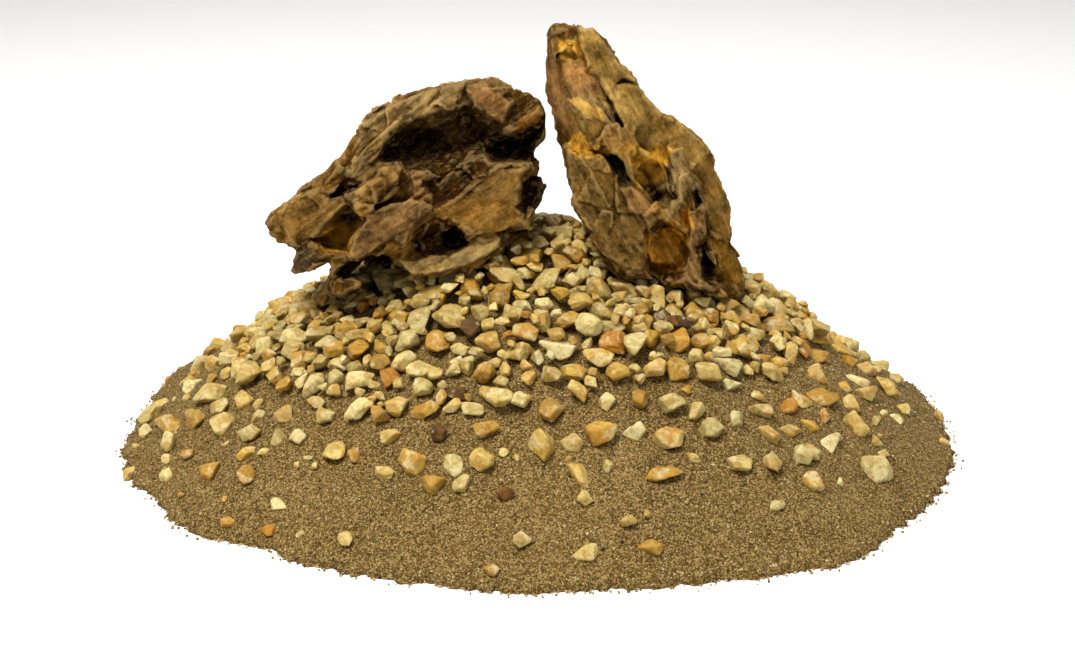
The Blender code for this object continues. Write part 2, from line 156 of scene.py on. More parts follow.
class Carving:
    """Signed distances in millimetres, negative inside, on a grid around one CAD node."""

    BAND = 9.0
    MARGIN = 5.0

    def __init__(self, node, voxel):
        self.voxel = voxel
        points, triangles = mesh_arrays(NODES[node])
        points = points.astype(np.float64)
        grid = openvdb.FloatGrid.createLevelSetFromPolygons(
            points, triangles=triangles.astype(np.uint32),
            transform=openvdb.createLinearTransform(voxelSize=voxel),
            halfWidth=self.BAND / voxel)
        self.first = np.floor((points.min(0) - self.MARGIN) / voxel).astype(int)
        last = np.ceil((points.max(0) + self.MARGIN) / voxel).astype(int)
        self.field = np.zeros(last - self.first, np.float32)
        grid.copyToArray(self.field, ijk=tuple(int(i) for i in self.first))
        self.axes = [(self.first[k] + np.arange(self.field.shape[k])) * voxel for k in range(3)]

    def block(self, low, high):
        """The slices of the grid between two corners."""
        slices = []
        for k in range(3):
            start, stop = np.searchsorted(self.axes[k], (low[k], high[k]))
            slices.append(slice(max(start - 1, 0), stop + 1))
        return tuple(slices)

    def places(self, block):
        axes = [self.axes[k][block[k]] for k in range(3)]
        return np.stack(np.meshgrid(*axes, indexing="ij"), -1).astype(np.float32)

    def soften(self, passes):
        """Averages neighbours, which rounds the CAD facets off."""
        for _ in range(passes):
            for axis in range(3):
                ahead = np.roll(self.field, 1, axis)
                behind = np.roll(self.field, -1, axis)
                self.field = (ahead + 2 * self.field + behind) / 4

    def shape(self, kind, centre, radii, turn=(0, 0, 0), blend=1.0, rough=1.0, seed=0):
        """Adds ("add") or takes away ("cut") one uneven ellipsoid, joined smoothly over blend."""
        centre = np.array(centre, np.float32)
        radii = np.array(radii, np.float32)
        reach = max(radii) + 3 + blend
        block = self.block(centre - reach, centre + reach)
        places = self.places(block)
        flat = places.reshape(-1, 3)
        uneven = layered_noise(flat, 7.0, 2, seed + 31)[:, None] * rough
        uneven = np.concatenate([uneven, layered_noise(flat, 6.0, 2, seed + 57)[:, None] * rough,
                                 layered_noise(flat, 8.0, 2, seed + 83)[:, None] * rough], 1)
        rotation = np.array(Euler([math.radians(a) for a in turn]).to_matrix(), np.float32)
        local = (flat + uneven - centre) @ rotation
        outer = np.linalg.norm(local / radii, axis=1)
        inner = np.linalg.norm(local / radii ** 2, axis=1) + 1e-6
        distance = (outer * (outer - 1) / inner).reshape(places.shape[:3])
        old = self.field[block]
        if kind == "cut":
            self.field[block] = -smooth_min(-old, distance, blend)
        else:
            self.field[block] = smooth_min(old, distance, blend)

    def displace(self, depth_of, band):
        """Moves the surface outwards by depth_of(points), worked out only near the surface."""
        near = np.abs(self.field) < band
        index = np.nonzero(near)
        points = np.stack([self.axes[k][index[k]] for k in range(3)], 1).astype(np.float32)
        self.field[index] -= depth_of(points)

    def sample(self, points, field=None):
        """The field at points in millimetres, between grid values."""
        field = self.field if field is None else field
        place = (points / self.voxel - self.first).astype(np.float32)
        place = np.clip(place, 0, np.array(field.shape) - 1.001)
        cell = place.astype(int)
        part = place - cell
        total = np.zeros(len(points), np.float32)
        for corner in range(8):
            d = np.array([corner & 1, corner >> 1 & 1, corner >> 2 & 1])
            share = np.prod(np.where(d, part, 1 - part), axis=1)
            total += share * field[cell[:, 0] + d[0], cell[:, 1] + d[1], cell[:, 2] + d[2]]
        return total

    def skin(self):
        """Vertices in millimetres and quads of the surface, without loose crumbs."""
        grid = openvdb.FloatGrid(self.BAND)
        grid.copyFromArray(self.field, ijk=tuple(int(i) for i in self.first), tolerance=0.0)
        grid.transform = openvdb.createLinearTransform(voxelSize=self.voxel)
        points, quads = grid.convertToQuads(0.0)
        return largest_piece(np.array(points), np.array(quads, np.int64))


def smooth_min(a, b, blend):
    if blend <= 0:
        return np.minimum(a, b)
    overlap = np.clip(0.5 + 0.5 * (b - a) / blend, 0, 1)
    return b + (a - b) * overlap - blend * overlap * (1 - overlap)


def largest_piece(points, quads):
    """Keeps the connected piece with the most vertices."""
    label = np.arange(len(points))
    while True:
        lowest = label[quads].min(1)
        new = label.copy()
        np.minimum.at(new, quads.ravel(), np.repeat(lowest, 4))
        new = new[new]
        if (new == label).all():
            break
        label = new
    main = np.bincount(label).argmax()
    keep = label == main
    number = np.cumsum(keep) - 1
    return points[keep], number[quads[keep[quads[:, 0]]]]


# Materials -----------------------------------------------------------------------------------------


class Nodes:
    """Short ways to add and join a material's nodes."""

    def __init__(self, name):
        self.material = bpy.data.materials.new(name)
        self.material.use_nodes = True
        self.tree = self.material.node_tree
        self.shader = self.tree.nodes["Principled BSDF"]

    def add(self, kind, **settings):
        node = self.tree.nodes.new(kind)
        for name, value in settings.items():
            setattr(node, name, value)
        return node

    def join(self, source, target):
        self.tree.links.new(source, target)

    def place(self):
        return self.add("ShaderNodeTexCoord").outputs["Object"]

    def noise(self, scale, detail=4.0, roughness=0.55, distortion=0.0, place=None):
        node = self.add("ShaderNodeTexNoise")
        node.inputs["Scale"].default_value = scale
        node.inputs["Detail"].default_value = detail
        node.inputs["Roughness"].default_value = roughness
        node.inputs["Distortion"].default_value = distortion
        self.join(place or self.place(), node.inputs["Vector"])
        return node.outputs["Fac"]

    def mask(self, name):
        return self.add("ShaderNodeAttribute", attribute_name=name).outputs["Fac"]

    def tint(self, name):
        return self.add("ShaderNodeAttribute", attribute_name=name).outputs["Color"]

    def ramp(self, value, low, high, start=0.0, stop=1.0):
        node = self.add("ShaderNodeMapRange")
        node.interpolation_type = "SMOOTHSTEP"
        for socket, number in zip(("From Min", "From Max", "To Min", "To Max"), (low, high, start, stop)):
            node.inputs[socket].default_value = number
        self.join(value, node.inputs["Value"])
        return node.outputs["Result"]

    def math(self, operation, first, second):
        node = self.add("ShaderNodeMath", operation=operation)
        for socket, value in zip(node.inputs, (first, second)):
            if isinstance(value, (int, float)):
                socket.default_value = value
            else:
                self.join(value, socket)
        return node.outputs[0]

    def mix(self, share, first, second, kind="MIX"):
        node = self.add("ShaderNodeMix", data_type="RGBA", blend_type=kind)
        for socket, value in ((node.inputs[0], share), (node.inputs[6], first), (node.inputs[7], second)):
            if isinstance(value, tuple):
                socket.default_value = (*value, 1.0)
            elif isinstance(value, (int, float)):
                socket.default_value = value
            else:
                self.join(value, socket)
        return node.outputs[2]

    def layers(self, grain, scale, stretch, detail, rough):
        """Noise drawn out along a grain direction, given as its angle in the XZ plane in degrees."""
        turned = self.add("ShaderNodeMapping", vector_type="TEXTURE")
        turned.inputs["Rotation"].default_value = (0.0, -math.radians(grain), 0.0)
        turned.inputs["Scale"].default_value = (1.0, 0.7, 1 / stretch)
        self.join(self.place(), turned.inputs["Vector"])
        return self.noise(scale, detail, rough, 0.5, turned.outputs[0])

    def over(self, colour, *rows):
        """Lays colours over the first one. A row is a value, where it starts and ends, strength, colour."""
        for value, start, end, strength, upper in rows:
            colour = self.mix(self.ramp(value, start, end, 0.0, strength), colour, upper)
        return colour

    def bump(self, height, strength, distance, under=None):
        node = self.add("ShaderNodeBump")
        node.inputs["Strength"].default_value = strength
        node.inputs["Distance"].default_value = distance
        self.join(height, node.inputs["Height"])
        if under:
            self.join(under, node.inputs["Normal"])
        return node.outputs["Normal"]

    def finish(self, colour, normal=None, roughness=None):
        self.join(colour, self.shader.inputs["Base Color"])
        if normal:
            self.join(normal, self.shader.inputs["Normal"])
        if roughness is not None:
            if isinstance(roughness, (int, float)):
                self.shader.inputs["Roughness"].default_value = roughness
            else:
                self.join(roughness, self.shader.inputs["Roughness"])
        return self.material


def stone_material(name, grain):
    """Weathered clay stone: its own clays in thin layers, dark pores, pale edges as a painted highlight,
    painted shade in creases and hollows.
    """
    n = Nodes(name)
    clay = n.tint("clay")
    # darker and paler copies of the clay, used for its layers and grit and also for painted shade and
    # painted highlight
    dark = n.mix(1.0, clay, (0.30, 0.23, 0.13), "MULTIPLY")
    light = n.mix(0.42, n.mix(1.0, clay, (1.5, 1.5, 1.6), "MULTIPLY"), (0.52, 0.37, 0.15))
    layers = n.layers(grain, 75, 5.5, 6, 0.72)
    grit = n.noise(900, 5, 0.75)
    colour = n.mix(n.ramp(n.noise(105, 5, 0.65), 0.36, 0.60, 0.62, 0.0), clay, dark)
    colour = n.over(
        colour, (layers, 0.52, 0.68, 0.55, light), (layers, 0.47, 0.36, 0.70, dark),
        (n.noise(280, 6, 0.7, 1.0), 0.50, 0.66, 0.40, light),
        (grit, 0.55, 0.68, 0.60, light), (grit, 0.46, 0.34, 0.80, dark),
        # painted highlight on standing edges, painted shade in creases and over wider dips
        (n.mask("edge"), 0.55, 0.75, 0.70, light), (n.mask("edge"), 0.46, 0.22, 0.90, dark),
        (n.mask("bulge"), 0.46, 0.15, 0.45, dark))
    # painted shade: the hollow mask, how shut in the surface is, darkens it towards near black
    shut = n.ramp(n.mask("hollow"), 0.62, 1.0, 0.0, 0.65)
    colour = n.mix(shut, colour, n.mix(0.10, (0.004, 0.0016, 0.0003), colour))
    n.shader.inputs["Specular IOR Level"].default_value = 0.03
    fine = n.bump(grit, 1.0, 0.0006)
    coarse = n.bump(n.noise(330, 6, 0.7, 0.6), 0.8, 0.0012, fine)
    return n.finish(colour, n.bump(layers, 0.9, 0.0020, coarse), n.ramp(grit, 0.3, 0.7, 0.75, 0.95))


def sand_material():
    """Fine quartz sand: every grain its own tint, a few of them dark or glassy."""
    n = Nodes("river_sand")
    grain = n.add("ShaderNodeTexVoronoi")
    grain.inputs["Scale"].default_value = 2500
    n.join(n.place(), grain.inputs["Vector"])
    tint = n.add("ShaderNodeSeparateColor")
    n.join(grain.outputs["Color"], tint.inputs[0])
    pick, other = tint.outputs[0], tint.outputs[1]
    base = n.mix(n.ramp(n.noise(34, 4, 0.55), 0.35, 0.65), (0.112, 0.066, 0.0150), (0.145, 0.088, 0.0225))
    colour = n.over(
        base, (pick, 0.50, 0.95, 0.85, (0.36, 0.245, 0.090)),
        (pick, 0.40, 0.08, 0.80, (0.042, 0.020, 0.0035)),
        (other, 0.95, 0.985, 0.55, (0.60, 0.47, 0.24)), (other, 0.035, 0.01, 0.8, (0.020, 0.010, 0.003)))
    n.shader.inputs["Specular IOR Level"].default_value = 0.12
    height = n.math("SUBTRACT", 1.0, grain.outputs["Distance"])
    bumped = n.bump(height, 0.9, 0.0003, n.bump(n.noise(420, 4, 0.7), 0.5, 0.0006))
    return n.finish(colour, bumped, 0.85)


def gravel_material(name, gloss, glow):
    """Worn quartz: each pebble's own tint, with iron stains, cloudy patches, seams and pores."""
    n = Nodes(name)
    tint = n.tint("tint")
    cloud = n.noise(290, 5, 0.65, 0.8)
    deep = n.mix(1.0, tint, (0.66, 0.55, 0.33), "MULTIPLY")
    colour = n.over(tint, (cloud, 0.44, 0.60, 0.85, deep),
                    (n.noise(210, 4, 0.6, 0.4), 0.53, 0.62, 0.5, (0.70, 0.61, 0.36)))
    rust = n.math("MULTIPLY", n.ramp(n.noise(180, 6, 0.7, 0.8), 0.46, 0.60), n.mask("stain"))
    colour = n.mix(rust, colour, (0.44, 0.185, 0.012))
    colour = n.over(colour, (n.noise(430, 5, 0.7, 1.5), 0.58, 0.68, 0.6, (0.25, 0.125, 0.02)),
                    (n.noise(1100, 3, 0.6), 0.39, 0.30, 0.6, (0.16, 0.075, 0.012)))
    n.shader.inputs["Subsurface Weight"].default_value = glow
    n.shader.inputs["Subsurface Radius"].default_value = (1.0, 0.7, 0.35)
    n.shader.inputs["Subsurface Scale"].default_value = 0.0012
    n.shader.inputs["Specular IOR Level"].default_value = 0.35
    bumped = n.bump(n.noise(800, 5, 0.7), 0.7, 0.0005, n.bump(cloud, 0.6, 0.0012))
    return n.finish(colour, bumped, n.ramp(n.noise(600, 3, 0.5), 0.3, 0.7, gloss + 0.08, gloss + 0.3))


# Stones --------------------------------------------------------------------------------------------

EYE = np.array((0.0, -537.4, 231.1), np.float32)  # where the outlines below are looked at from
TOUCH = (3.4, 107.0)  # X and Z where the stones meet over the arch; their relief fades out there
LEFT_HOME = Vector((-91.3, -32.4, 45.0))  # low corner of the CAD stone that its rows belong to
LEFT_SHAPES = (  # what, centre, radii, turn about X, Y and Z in degrees, blend, roughness
    ("add", (-1, -8, 104.5), (3.5, 7, 6), (0, 0, 0), 2.0, 0.6),  # right end, up to the other stone
    ("cut", (-57, -5, 106), (6, 12, 3), (0, -45, 0), 2.0, 0.5),  # shoulder over the slit
    ("cut", (-10, -13, 98), (8, 11, 4.2), (0, 6, 0), 1.0, 1.2),  # right chamber
    ("add", (-70.5, -8, 53), (2.2, 5, 9), (0, 14, 0), 0.8, 0.6),  # thin leg
)
RIGHT_HOME = Vector((0.5, -30.9, 47.2))
RIGHT_SHAPES = (  # in the same terms
    ("add", (21, -15, 113), (3.4, 8.5, 15), (0, -27, 0), 1.5, 0.4),  # most of the CAD crack, filled
    ("add", (5, -7, 112), (3.5, 7, 14), (0, 8, 0), 2.0, 0.5),  # left side, down to the contact
    ("add", (40, -15, 67), (10, 7.5, 9.5), (0, 0, 0), 1.0, 0.6),  # inner end of the CAD foot pocket
    ("cut", (67, -8, 92), (5, 26, 14), (0, -24, 0), 2.0, 0.5),  # back boulder's right side
    ("cut", (0, -5, 127.6), (1.4, 9, 1.0), (0, 0, 0), 0.6, 0.4),  # step in the left edge
)
# Outlines of what shows on each stone's front: a plane Y, and corners (X, Z) on it as seen from EYE
LEFT_OUTLINES = {
    "cave": (-16, ((-48, 106), (-38, 111), (-30, 112), (-24, 117), (-20, 115), (-12, 108), (-8, 105),
                   (1, 110), (2, 106), (0, 101), (-5, 96), (-12, 95), (-18, 97), (-34, 92), (-44, 93),
                   (-51, 97))),
    "deep_left": (-12, ((-51, 96), (-50, 101), (-45, 103), (-30, 103), (-30, 100), (-38, 98), (-44, 95))),
    "deep_right": (-12, ((-18, 98), (-13, 102), (0, 108), (2, 107), (1, 101), (-5, 96), (-15, 95))),
    "ramp": (-20, ((-38, 91), (-30, 94), (-19, 98), (-13, 95), (-18, 90), (-29, 84), (-34, 82))),
    "ramp_crack": (-20, ((-33, 89.5), (-30.5, 93), (-20, 98), (-20, 97), (-30, 91.5))),
    "knob": (-27, ((-58, 89), (-45, 98), (-43, 96), (-45, 92), (-51, 88), (-54, 81), (-57, 81), (-60, 87))),
    "blade": (-30, ((-54, 82), (-47, 86), (-41, 87), (-34, 85), (-34, 83), (-41, 77), (-43, 73),
                    (-47, 74), (-52, 72), (-58, 67), (-60, 68), (-59, 74))),
    "slit": (-22, ((-70, 87), (-58, 90), (-58, 88), (-67, 85))),
    "side_pocket": (-20, ((-57, 78), (-58, 82), (-63, 81), (-69, 74), (-74, 71), (-69, 67), (-61, 66))),
    "side_dark": (-18, ((-58, 77), (-59, 82), (-63, 80), (-64, 77), (-61, 73))),
    "nose": (-20, ((-88, 77), (-80, 86), (-71, 87), (-66, 84), (-61, 84), (-69, 74), (-74, 71), (-86, 74))),
    "spur": (-12, ((-83, 58), (-78, 66), (-69, 61), (-75, 58), (-81, 56))),
    "bay": (-8, ((-88, 66), (-79, 64), (-83, 58), (-82, 54), (-70, 60), (-69, 58), (-72, 49), (-88, 49))),
    "recess": (-18, ((-66, 59), (-60, 64), (-50, 65), (-41, 59), (-46, 57), (-54, 58), (-64, 56))),
    "low_hole": (-24, ((-31, 74), (-29, 76), (-25, 76), (-24, 72), (-27, 69), (-30, 70))),
    "bowl": (-26, ((-42, 72), (-40, 76), (-36, 79), (-32, 80), (-22, 76), (-23, 72), (-27, 68),
                   (-34, 66), (-39, 68))),
    "lip": (-27, ((-45, 66), (-31, 66), (-26, 69), (-20, 73), (-13, 75), (-13, 71), (-25, 64),
                  (-33, 63), (-41, 62))),
    "flank": (-24, ((-34, 82), (-19, 88), (-13, 95), (-6, 95), (-8, 86), (-5, 77), (-14, 74),
                    (-21, 74), (-26, 78))),
    "end_hollow": (-12, ((-7, 88), (-4, 91), (0, 90), (3, 85), (-5, 77), (-8, 80))),
    "end_notch": (-16, ((-14, 72), (-10, 74), (-4, 73), (-7, 70), (-13, 68))),
    "facet": (-14, ((-23, 118), (-19, 119), (-13, 117), (-9, 114), (-12, 108), (-21, 113))),
    "warm_facet": (-11, ((-11, 105), (-1, 112), (1, 110), (-6, 104), (-10, 104))),
    "rim": (-12, ((-58, 105), (-51, 111), (-32, 120), (-24, 122), (-25, 116), (-40, 109), (-53, 103),
                  (-59, 100))),
    "pale_flat": (-22, ((-21, 88), (-13, 95), (-6, 95), (-8, 85), (-18, 85))),
}
RIGHT_OUTLINES = {
    "tip_pit": (-8, ((4, 137), (8, 137), (12, 135), (11, 133), (5, 135))),
    "tip_ochre": (-9, ((5, 134), (12, 133), (14, 127), (10, 126), (6, 128))),
    "pink_face": (-14, ((6, 127), (13, 128), (19, 119), (20, 116), (10, 118), (7, 122))),
    "side_face": (-8, ((1, 126), (5, 127), (7, 120), (10, 116), (8, 112), (9, 101), (5, 106), (1, 118))),
    "yellow": (-16, ((8, 116), (12, 117), (20, 111), (19, 109), (14, 111))),
    "olive": (-15, ((8, 113), (21, 108), (19, 104), (15, 101), (13, 105), (9, 106))),
    "pink_block": (-20, ((20, 108), (25, 110), (26, 102), (23, 100), (22, 104))),
    "rubble": (-14, ((9, 104), (13, 105), (17, 100), (20, 101), (20, 96), (11, 97), (9, 99))),
    "slot": (-20, ((20, 98), (24, 100), (27, 97), (29, 90), (26, 89), (23, 94))),
    "bowl": (-19, ((28, 103), (32, 101), (42, 102), (39, 92), (33, 88), (30, 89), (28, 97))),
    "cracks": (-20, ((31, 88), (40, 91), (36, 86), (33, 85))),
    "crack": (-16, ((13.5, 127.5), (20, 117.5), (28, 103), (28.6, 103), (20.7, 118), (14, 128))),
    "ridge": (-22, ((40, 102), (44, 102), (47, 94), (50, 90), (49, 87), (46, 88), (46, 83), (42, 86))),
    "window": (-20, ((44, 81), (47, 82), (49, 74), (46, 76))),
    "gap1": (-16, ((48, 86), (50, 88), (53, 82), (50, 80))),
    "gap2": (-14, ((50, 67), (54, 72), (58, 57), (53, 57))),
    "spikes": (-22, ((46, 82), (50, 81), (52, 72), (50, 71), (51, 63), (49, 68), (46, 76))),
    "column": (-26, ((9, 102), (20, 99), (25, 90), (32, 83), (36, 80), (32, 76), (32, 62), (28, 61),
                     (14, 77), (9, 86))),
    "pink_patch": (-27, ((25, 90), (28, 91), (36, 83), (32, 81), (28, 83))),
    "foot_pocket": (-24, ((33, 74), (37, 79), (43, 78), (47, 75), (47, 66), (44, 62), (38, 61), (33, 67))),
    "foot_dark": (-20, ((33, 73), (37, 78), (43, 76), (38, 73))),
    "boulder": (-6, ((49, 90), (55, 97), (61, 82), (63, 71), (61, 66), (55, 70), (54, 78))),
    "foot_slab": (-7, ((55, 69), (61, 66), (65, 60), (66, 52), (59, 54))),
    "back_slab": (-6, ((11, 139), (16, 137), (24, 127), (32, 119), (40, 110), (46, 106), (55, 97),
                       (49, 90), (42, 99), (38, 97), (28, 100), (26, 107), (13, 129))),
    "nick": (-9, ((24, 119.5), (26, 121.5), (32.5, 119), (27, 119.3))),
}
LEFT_WORK = (  # what, outline, front face Y, depth, taper, blend, roughness, lean per X and Z
    ("add", "rim", -13.5, 8, 0.3, 2.0, 0.5, (0, 0.15)),
    ("add", "flank", -26.0, 8, 0.5, 3.0, 0.3, (0, 0.30)),
    ("add", "nose", -20.0, 8, 0.2, 1.5, 0.5, (-0.1, 0.25)),
    ("cut", "cave", -20.0, 15, 0.40, 3.0, 0.9, (0, 0)),
    ("cut", "deep_left", -14.0, 20, 0.45, 4.0, 1.2, (0, 0)),
    ("cut", "deep_right", -14.0, 16, 0.35, 3.0, 1.2, (0, 0)),
    ("cut", "ramp", -27.5, 3.5, 0.4, 3.0, 1.0, (0, 0.5)),
    ("cut", "ramp_crack", -28.0, 9, 0.05, 0.5, 0.6, (0, 0.5)),
    ("cut", "side_pocket", -22.0, 7, 0.3, 1.5, 0.6, (0, 0.2)),
    ("cut", "side_dark", -22.0, 17, 0.3, 2.0, 0.6, (0, 0)),
    ("cut", "slit", -24.0, 16, 0.05, 0.8, 0.5, (0, 0)),
    ("cut", "recess", -34.0, 24, 0.0, 1.0, 0.6, (0, 0)),
    ("cut", "bay", -40.0, 90, 0.0, 1.0, 0.4, (0, 0)),
    ("cut", "bowl", -30.0, 12, 0.35, 2.5, 0.6, (0, 0.2)),
    ("cut", "end_hollow", -24.0, 17, 0.3, 1.2, 0.5, (0, 0)),
    ("cut", "end_notch", -24.0, 22, 0.1, 1.0, 0.6, (0, 0)),
    ("add", "facet", -15.5, 7, 0.3, 0.8, 0.25, (0, 0.2)),
    ("add", "warm_facet", -14.0, 7, 0.2, 0.8, 0.3, (0.1, 0)),
    ("add", "pale_flat", -26.0, 5, 0.5, 2.0, 0.3, (0, 0.3)),
    ("add", "lip", -29.0, 9, 0.3, 0.8, 0.4, (0, 0.5)),
    ("add", "knob", -33.0, 9, 0.2, 0.8, 1.0, (0, 0)),
    ("add", "blade", -33.5, 6, 0.2, 0.6, 0.5, (0, 0.1)),
    ("cut", "low_hole", -30.0, 26, 0.05, 0.8, 0.4, (0, 0)),
    ("add", "spur", -16.0, 9, 0.0, 0.6, 0.4, (0, 0)),
)
RIGHT_WORK = (  # in the same terms
    ("add", "back_slab", -16.0, 12, 0.1, 2.0, 0.4, (0.20, 0.10)),
    ("cut", "boulder", -30.0, 17, 0.0, 2.5, 0.4, (0.1, 0)),
    ("add", "boulder", -13.5, 12, 0.2, 3.0, 0.4, (0.2, 0.1)),
    ("cut", "foot_slab", -30.0, 18, 0.0, 1.5, 0.4, (0.2, 0)),
    ("cut", "gap2", -30.0, 20, 0.2, 1.2, 0.6, (0, 0)),
    ("cut", "bowl", -28.0, 8, 0.6, 3.0, 1.2, (0, 0.1)),
    ("cut", "cracks", -26.0, 13, 0.1, 0.6, 0.8, (0, 0)),
    ("cut", "slot", -32.0, 16, 0.1, 0.8, 0.5, (0, 0)),
    ("cut", "foot_pocket", -32.0, 10.5, 0.30, 1.5, 1.4, (0, 0.5)),
    ("cut", "foot_dark", -32.0, 19, 0.15, 1.5, 0.8, (0, 0)),
    ("add", "column", -31.0, 10, 0.3, 2.0, 0.5, (0.05, 0.12)),
    ("add", "ridge", -25.5, 10, 0.1, 0.8, 0.5, (0, 0)),
    ("add", "spikes", -27.0, 7, 0.0, 0.6, 0.4, (0, 0)),
    ("cut", "window", -30.0, 4, 0.3, 0.8, 0.4, (0, 0)),
    ("cut", "gap1", -30.0, 18, 0.1, 0.6, 0.4, (0, 0)),
    ("add", "pink_block", -28.0, 8, 0.2, 0.6, 0.5, (0, 0)),
    ("add", "pink_patch", -32.0, 6, 0.4, 0.6, 0.25, (0, 0.1)),
    ("cut", "crack", -30.0, 10, 0.10, 0.4, 0.6, (0, 0)),
    ("cut", "yellow", -30.0, 5.2, 0.0, 0.3, 0.2, (0, 0.12)),
    ("cut", "olive", -30.0, 4.2, 0.1, 0.4, 0.2, (0, 0)),
    ("cut", "rubble", -30.0, 5.5, 0.3, 1.5, 1.6, (0, 0)),
    ("cut", "tip_pit", -16.0, 9, 0.3, 1.0, 0.5, (0, 0)),
    ("cut", "tip_ochre", -20.0, 5.5, 0.3, 1.0, 0.5, (0, 0)),
    ("cut", "nick", -16.0, 3.5, 0.35, 0.3, 0.3, (0, 0)),
)
CALM = {  # outlines inside which the relief is weaker or stronger
    "left_rock": (("cave", 0.5), ("flank", 0.25), ("pale_flat", 0.25), ("facet", 0.3), ("warm_facet", 0.4),
                  ("lip", 0.4), ("blade", 0.5), ("side_pocket", 0.6), ("rim", 1.1), ("nose", 0.55),
                  ("knob", 1.0)),
    "right_rock": (("pink_face", 0.25), ("yellow", 0.3), ("olive", 0.25), ("back_slab", 0.3),
                   ("side_face", 0.3), ("boulder", 0.5), ("pink_patch", 0.3), ("foot_slab", 0.5),
                   ("column", 0.9), ("bowl", 0.7)),
}
CLAYS = {  # colours of the plain stone between the outlines
    "brown": (0.150, 0.068, 0.008), "umber": (0.045, 0.018, 0.002), "ochre": (0.32, 0.155, 0.017),
    "mauve": (0.21, 0.100, 0.027), "pale": (0.36, 0.225, 0.072), "olive": (0.215, 0.115, 0.019),
}
TINTS = {  # outline, colour, strength, width of its edge in mm; the dark colours of hollows, cracks and gaps are painted shade
    "left_rock": (
        # painted shade: the dark colours of cave, deep_left, deep_right, ramp, side_dark, slit, recess,
        # bowl, end_hollow and end_notch
        ("rim", (0.33, 0.215, 0.080), 0.8, 1.5), ("nose", (0.235, 0.122, 0.025), 0.9, 1.2),
        ("cave", (0.040, 0.0150, 0.001), 0.95, 2.0), ("deep_left", (0.010, 0.0035, 0.0003), 0.95, 5.0),
        ("deep_right", (0.008, 0.003, 0.0003), 0.95, 3.0), ("ramp", (0.055, 0.0180, 0.0004), 0.95, 2.5),
        ("side_pocket", (0.52, 0.250, 0.010), 0.9, 1.2), ("side_dark", (0.020, 0.007, 0.0005), 0.9, 2.0),
        ("slit", (0.004, 0.002, 0.0005), 0.95, 2.2), ("recess", (0.006, 0.003, 0.0003), 0.95, 1.5),
        ("bowl", (0.080, 0.034, 0.004), 0.85, 2.0), ("low_hole", (0.140, 0.060, 0.004), 0.9, 1.5),
        ("end_hollow", (0.010, 0.004, 0.0005), 0.9, 2.5), ("end_notch", (0.004, 0.002, 0.0003), 0.95, 1.5),
        ("flank", (0.325, 0.160, 0.026), 0.9, 4.0), ("pale_flat", (0.22, 0.118, 0.030), 0.6, 5.0),
        ("facet", (0.345, 0.165, 0.053), 0.9, 1.0), ("warm_facet", (0.18, 0.062, 0.004), 0.9, 1.5),
        ("blade", (0.19, 0.100, 0.031), 0.9, 0.8), ("knob", (0.275, 0.145, 0.032), 0.9, 0.8),
        ("lip", (0.43, 0.295, 0.098), 0.9, 1.0), ("spur", (0.080, 0.052, 0.026), 0.85, 1.0)),
    "right_rock": (
        # painted shade: the dark colours of cracks, slot, gap1, gap2, foot_dark, crack and nick
        ("back_slab", (0.48, 0.290, 0.066), 0.85, 1.2), ("side_face", (0.255, 0.122, 0.035), 0.9, 2.0),
        ("boulder", (0.35, 0.190, 0.034), 0.6, 2.0), ("column", (0.185, 0.103, 0.022), 0.85, 1.5),
        ("ridge", (0.37, 0.240, 0.088), 0.7, 1.0), ("spikes", (0.27, 0.142, 0.038), 0.7, 0.8),
        ("bowl", (0.68, 0.335, 0.024), 0.9, 1.5), ("cracks", (0.075, 0.030, 0.003), 0.8, 0.8),
        ("slot", (0.060, 0.030, 0.007), 0.9, 0.8), ("gap1", (0.055, 0.022, 0.002), 0.85, 1.0),
        ("gap2", (0.065, 0.028, 0.004), 0.9, 1.5), ("foot_pocket", (0.66, 0.280, 0.014), 0.9, 1.2),
        ("foot_dark", (0.012, 0.004, 0.0004), 0.85, 2.0), ("foot_slab", (0.50, 0.248, 0.022), 0.85, 1.5),
        ("pink_face", (0.385, 0.182, 0.052), 0.95, 0.8), ("olive", (0.245, 0.132, 0.026), 0.95, 0.8),
        ("yellow", (0.730, 0.440, 0.090), 1.0, 0.5), ("pink_block", (0.380, 0.200, 0.054), 0.85, 0.8),
        ("rubble", (0.580, 0.290, 0.030), 0.95, 1.2), ("pink_patch", (0.380, 0.186, 0.054), 0.9, 0.8),
        ("window", (0.62, 0.270, 0.016), 0.9, 0.8), ("tip_ochre", (0.50, 0.260, 0.022), 0.95, 1.0),
        ("tip_pit", (0.13, 0.060, 0.005), 0.8, 1.5), ("crack", (0.075, 0.032, 0.004), 0.75, 0.8),
        ("nick", (0.06, 0.030, 0.005), 0.85, 0.8)),
}


RIM_PLANE = -10.0  # Y of the plane that a stone's outline is drawn on
FOOT_TOP = {"left_rock": 74, "right_rock": 66}  # below this height the outline may spread


def seen_on(points, plane):
    """X and Z where the sight lines through points cross the plane Y = plane."""
    share = (plane - EYE[1]) / (points[:, 1] - EYE[1])
    return points[:, 0] * share, EYE[2] + (points[:, 2] - EYE[2]) * share


def outline_distance(points, outline):
    """Distance from each point to an outline as seen from EYE, negative inside it."""
    plane, corners = outline
    x, z = seen_on(points, plane)
    nearest = np.full(len(points), 1e6, np.float32)
    inside = np.zeros(len(points), bool)
    for (ax, az), (bx, bz) in zip(corners, corners[1:] + corners[:1]):
        along_x, along_z = bx - ax, bz - az
        from_x, from_z = x - ax, z - az
        share = np.clip((from_x * along_x + from_z * along_z) / (along_x ** 2 + along_z ** 2), 0, 1)
        nearest = np.minimum(nearest, (from_x - along_x * share) ** 2 + (from_z - along_z * share) ** 2)
        if az != bz:
            inside ^= ((az > z) != (bz > z)) & (from_x < along_x * from_z / along_z)
    return np.where(inside, -1, 1) * np.sqrt(nearest)


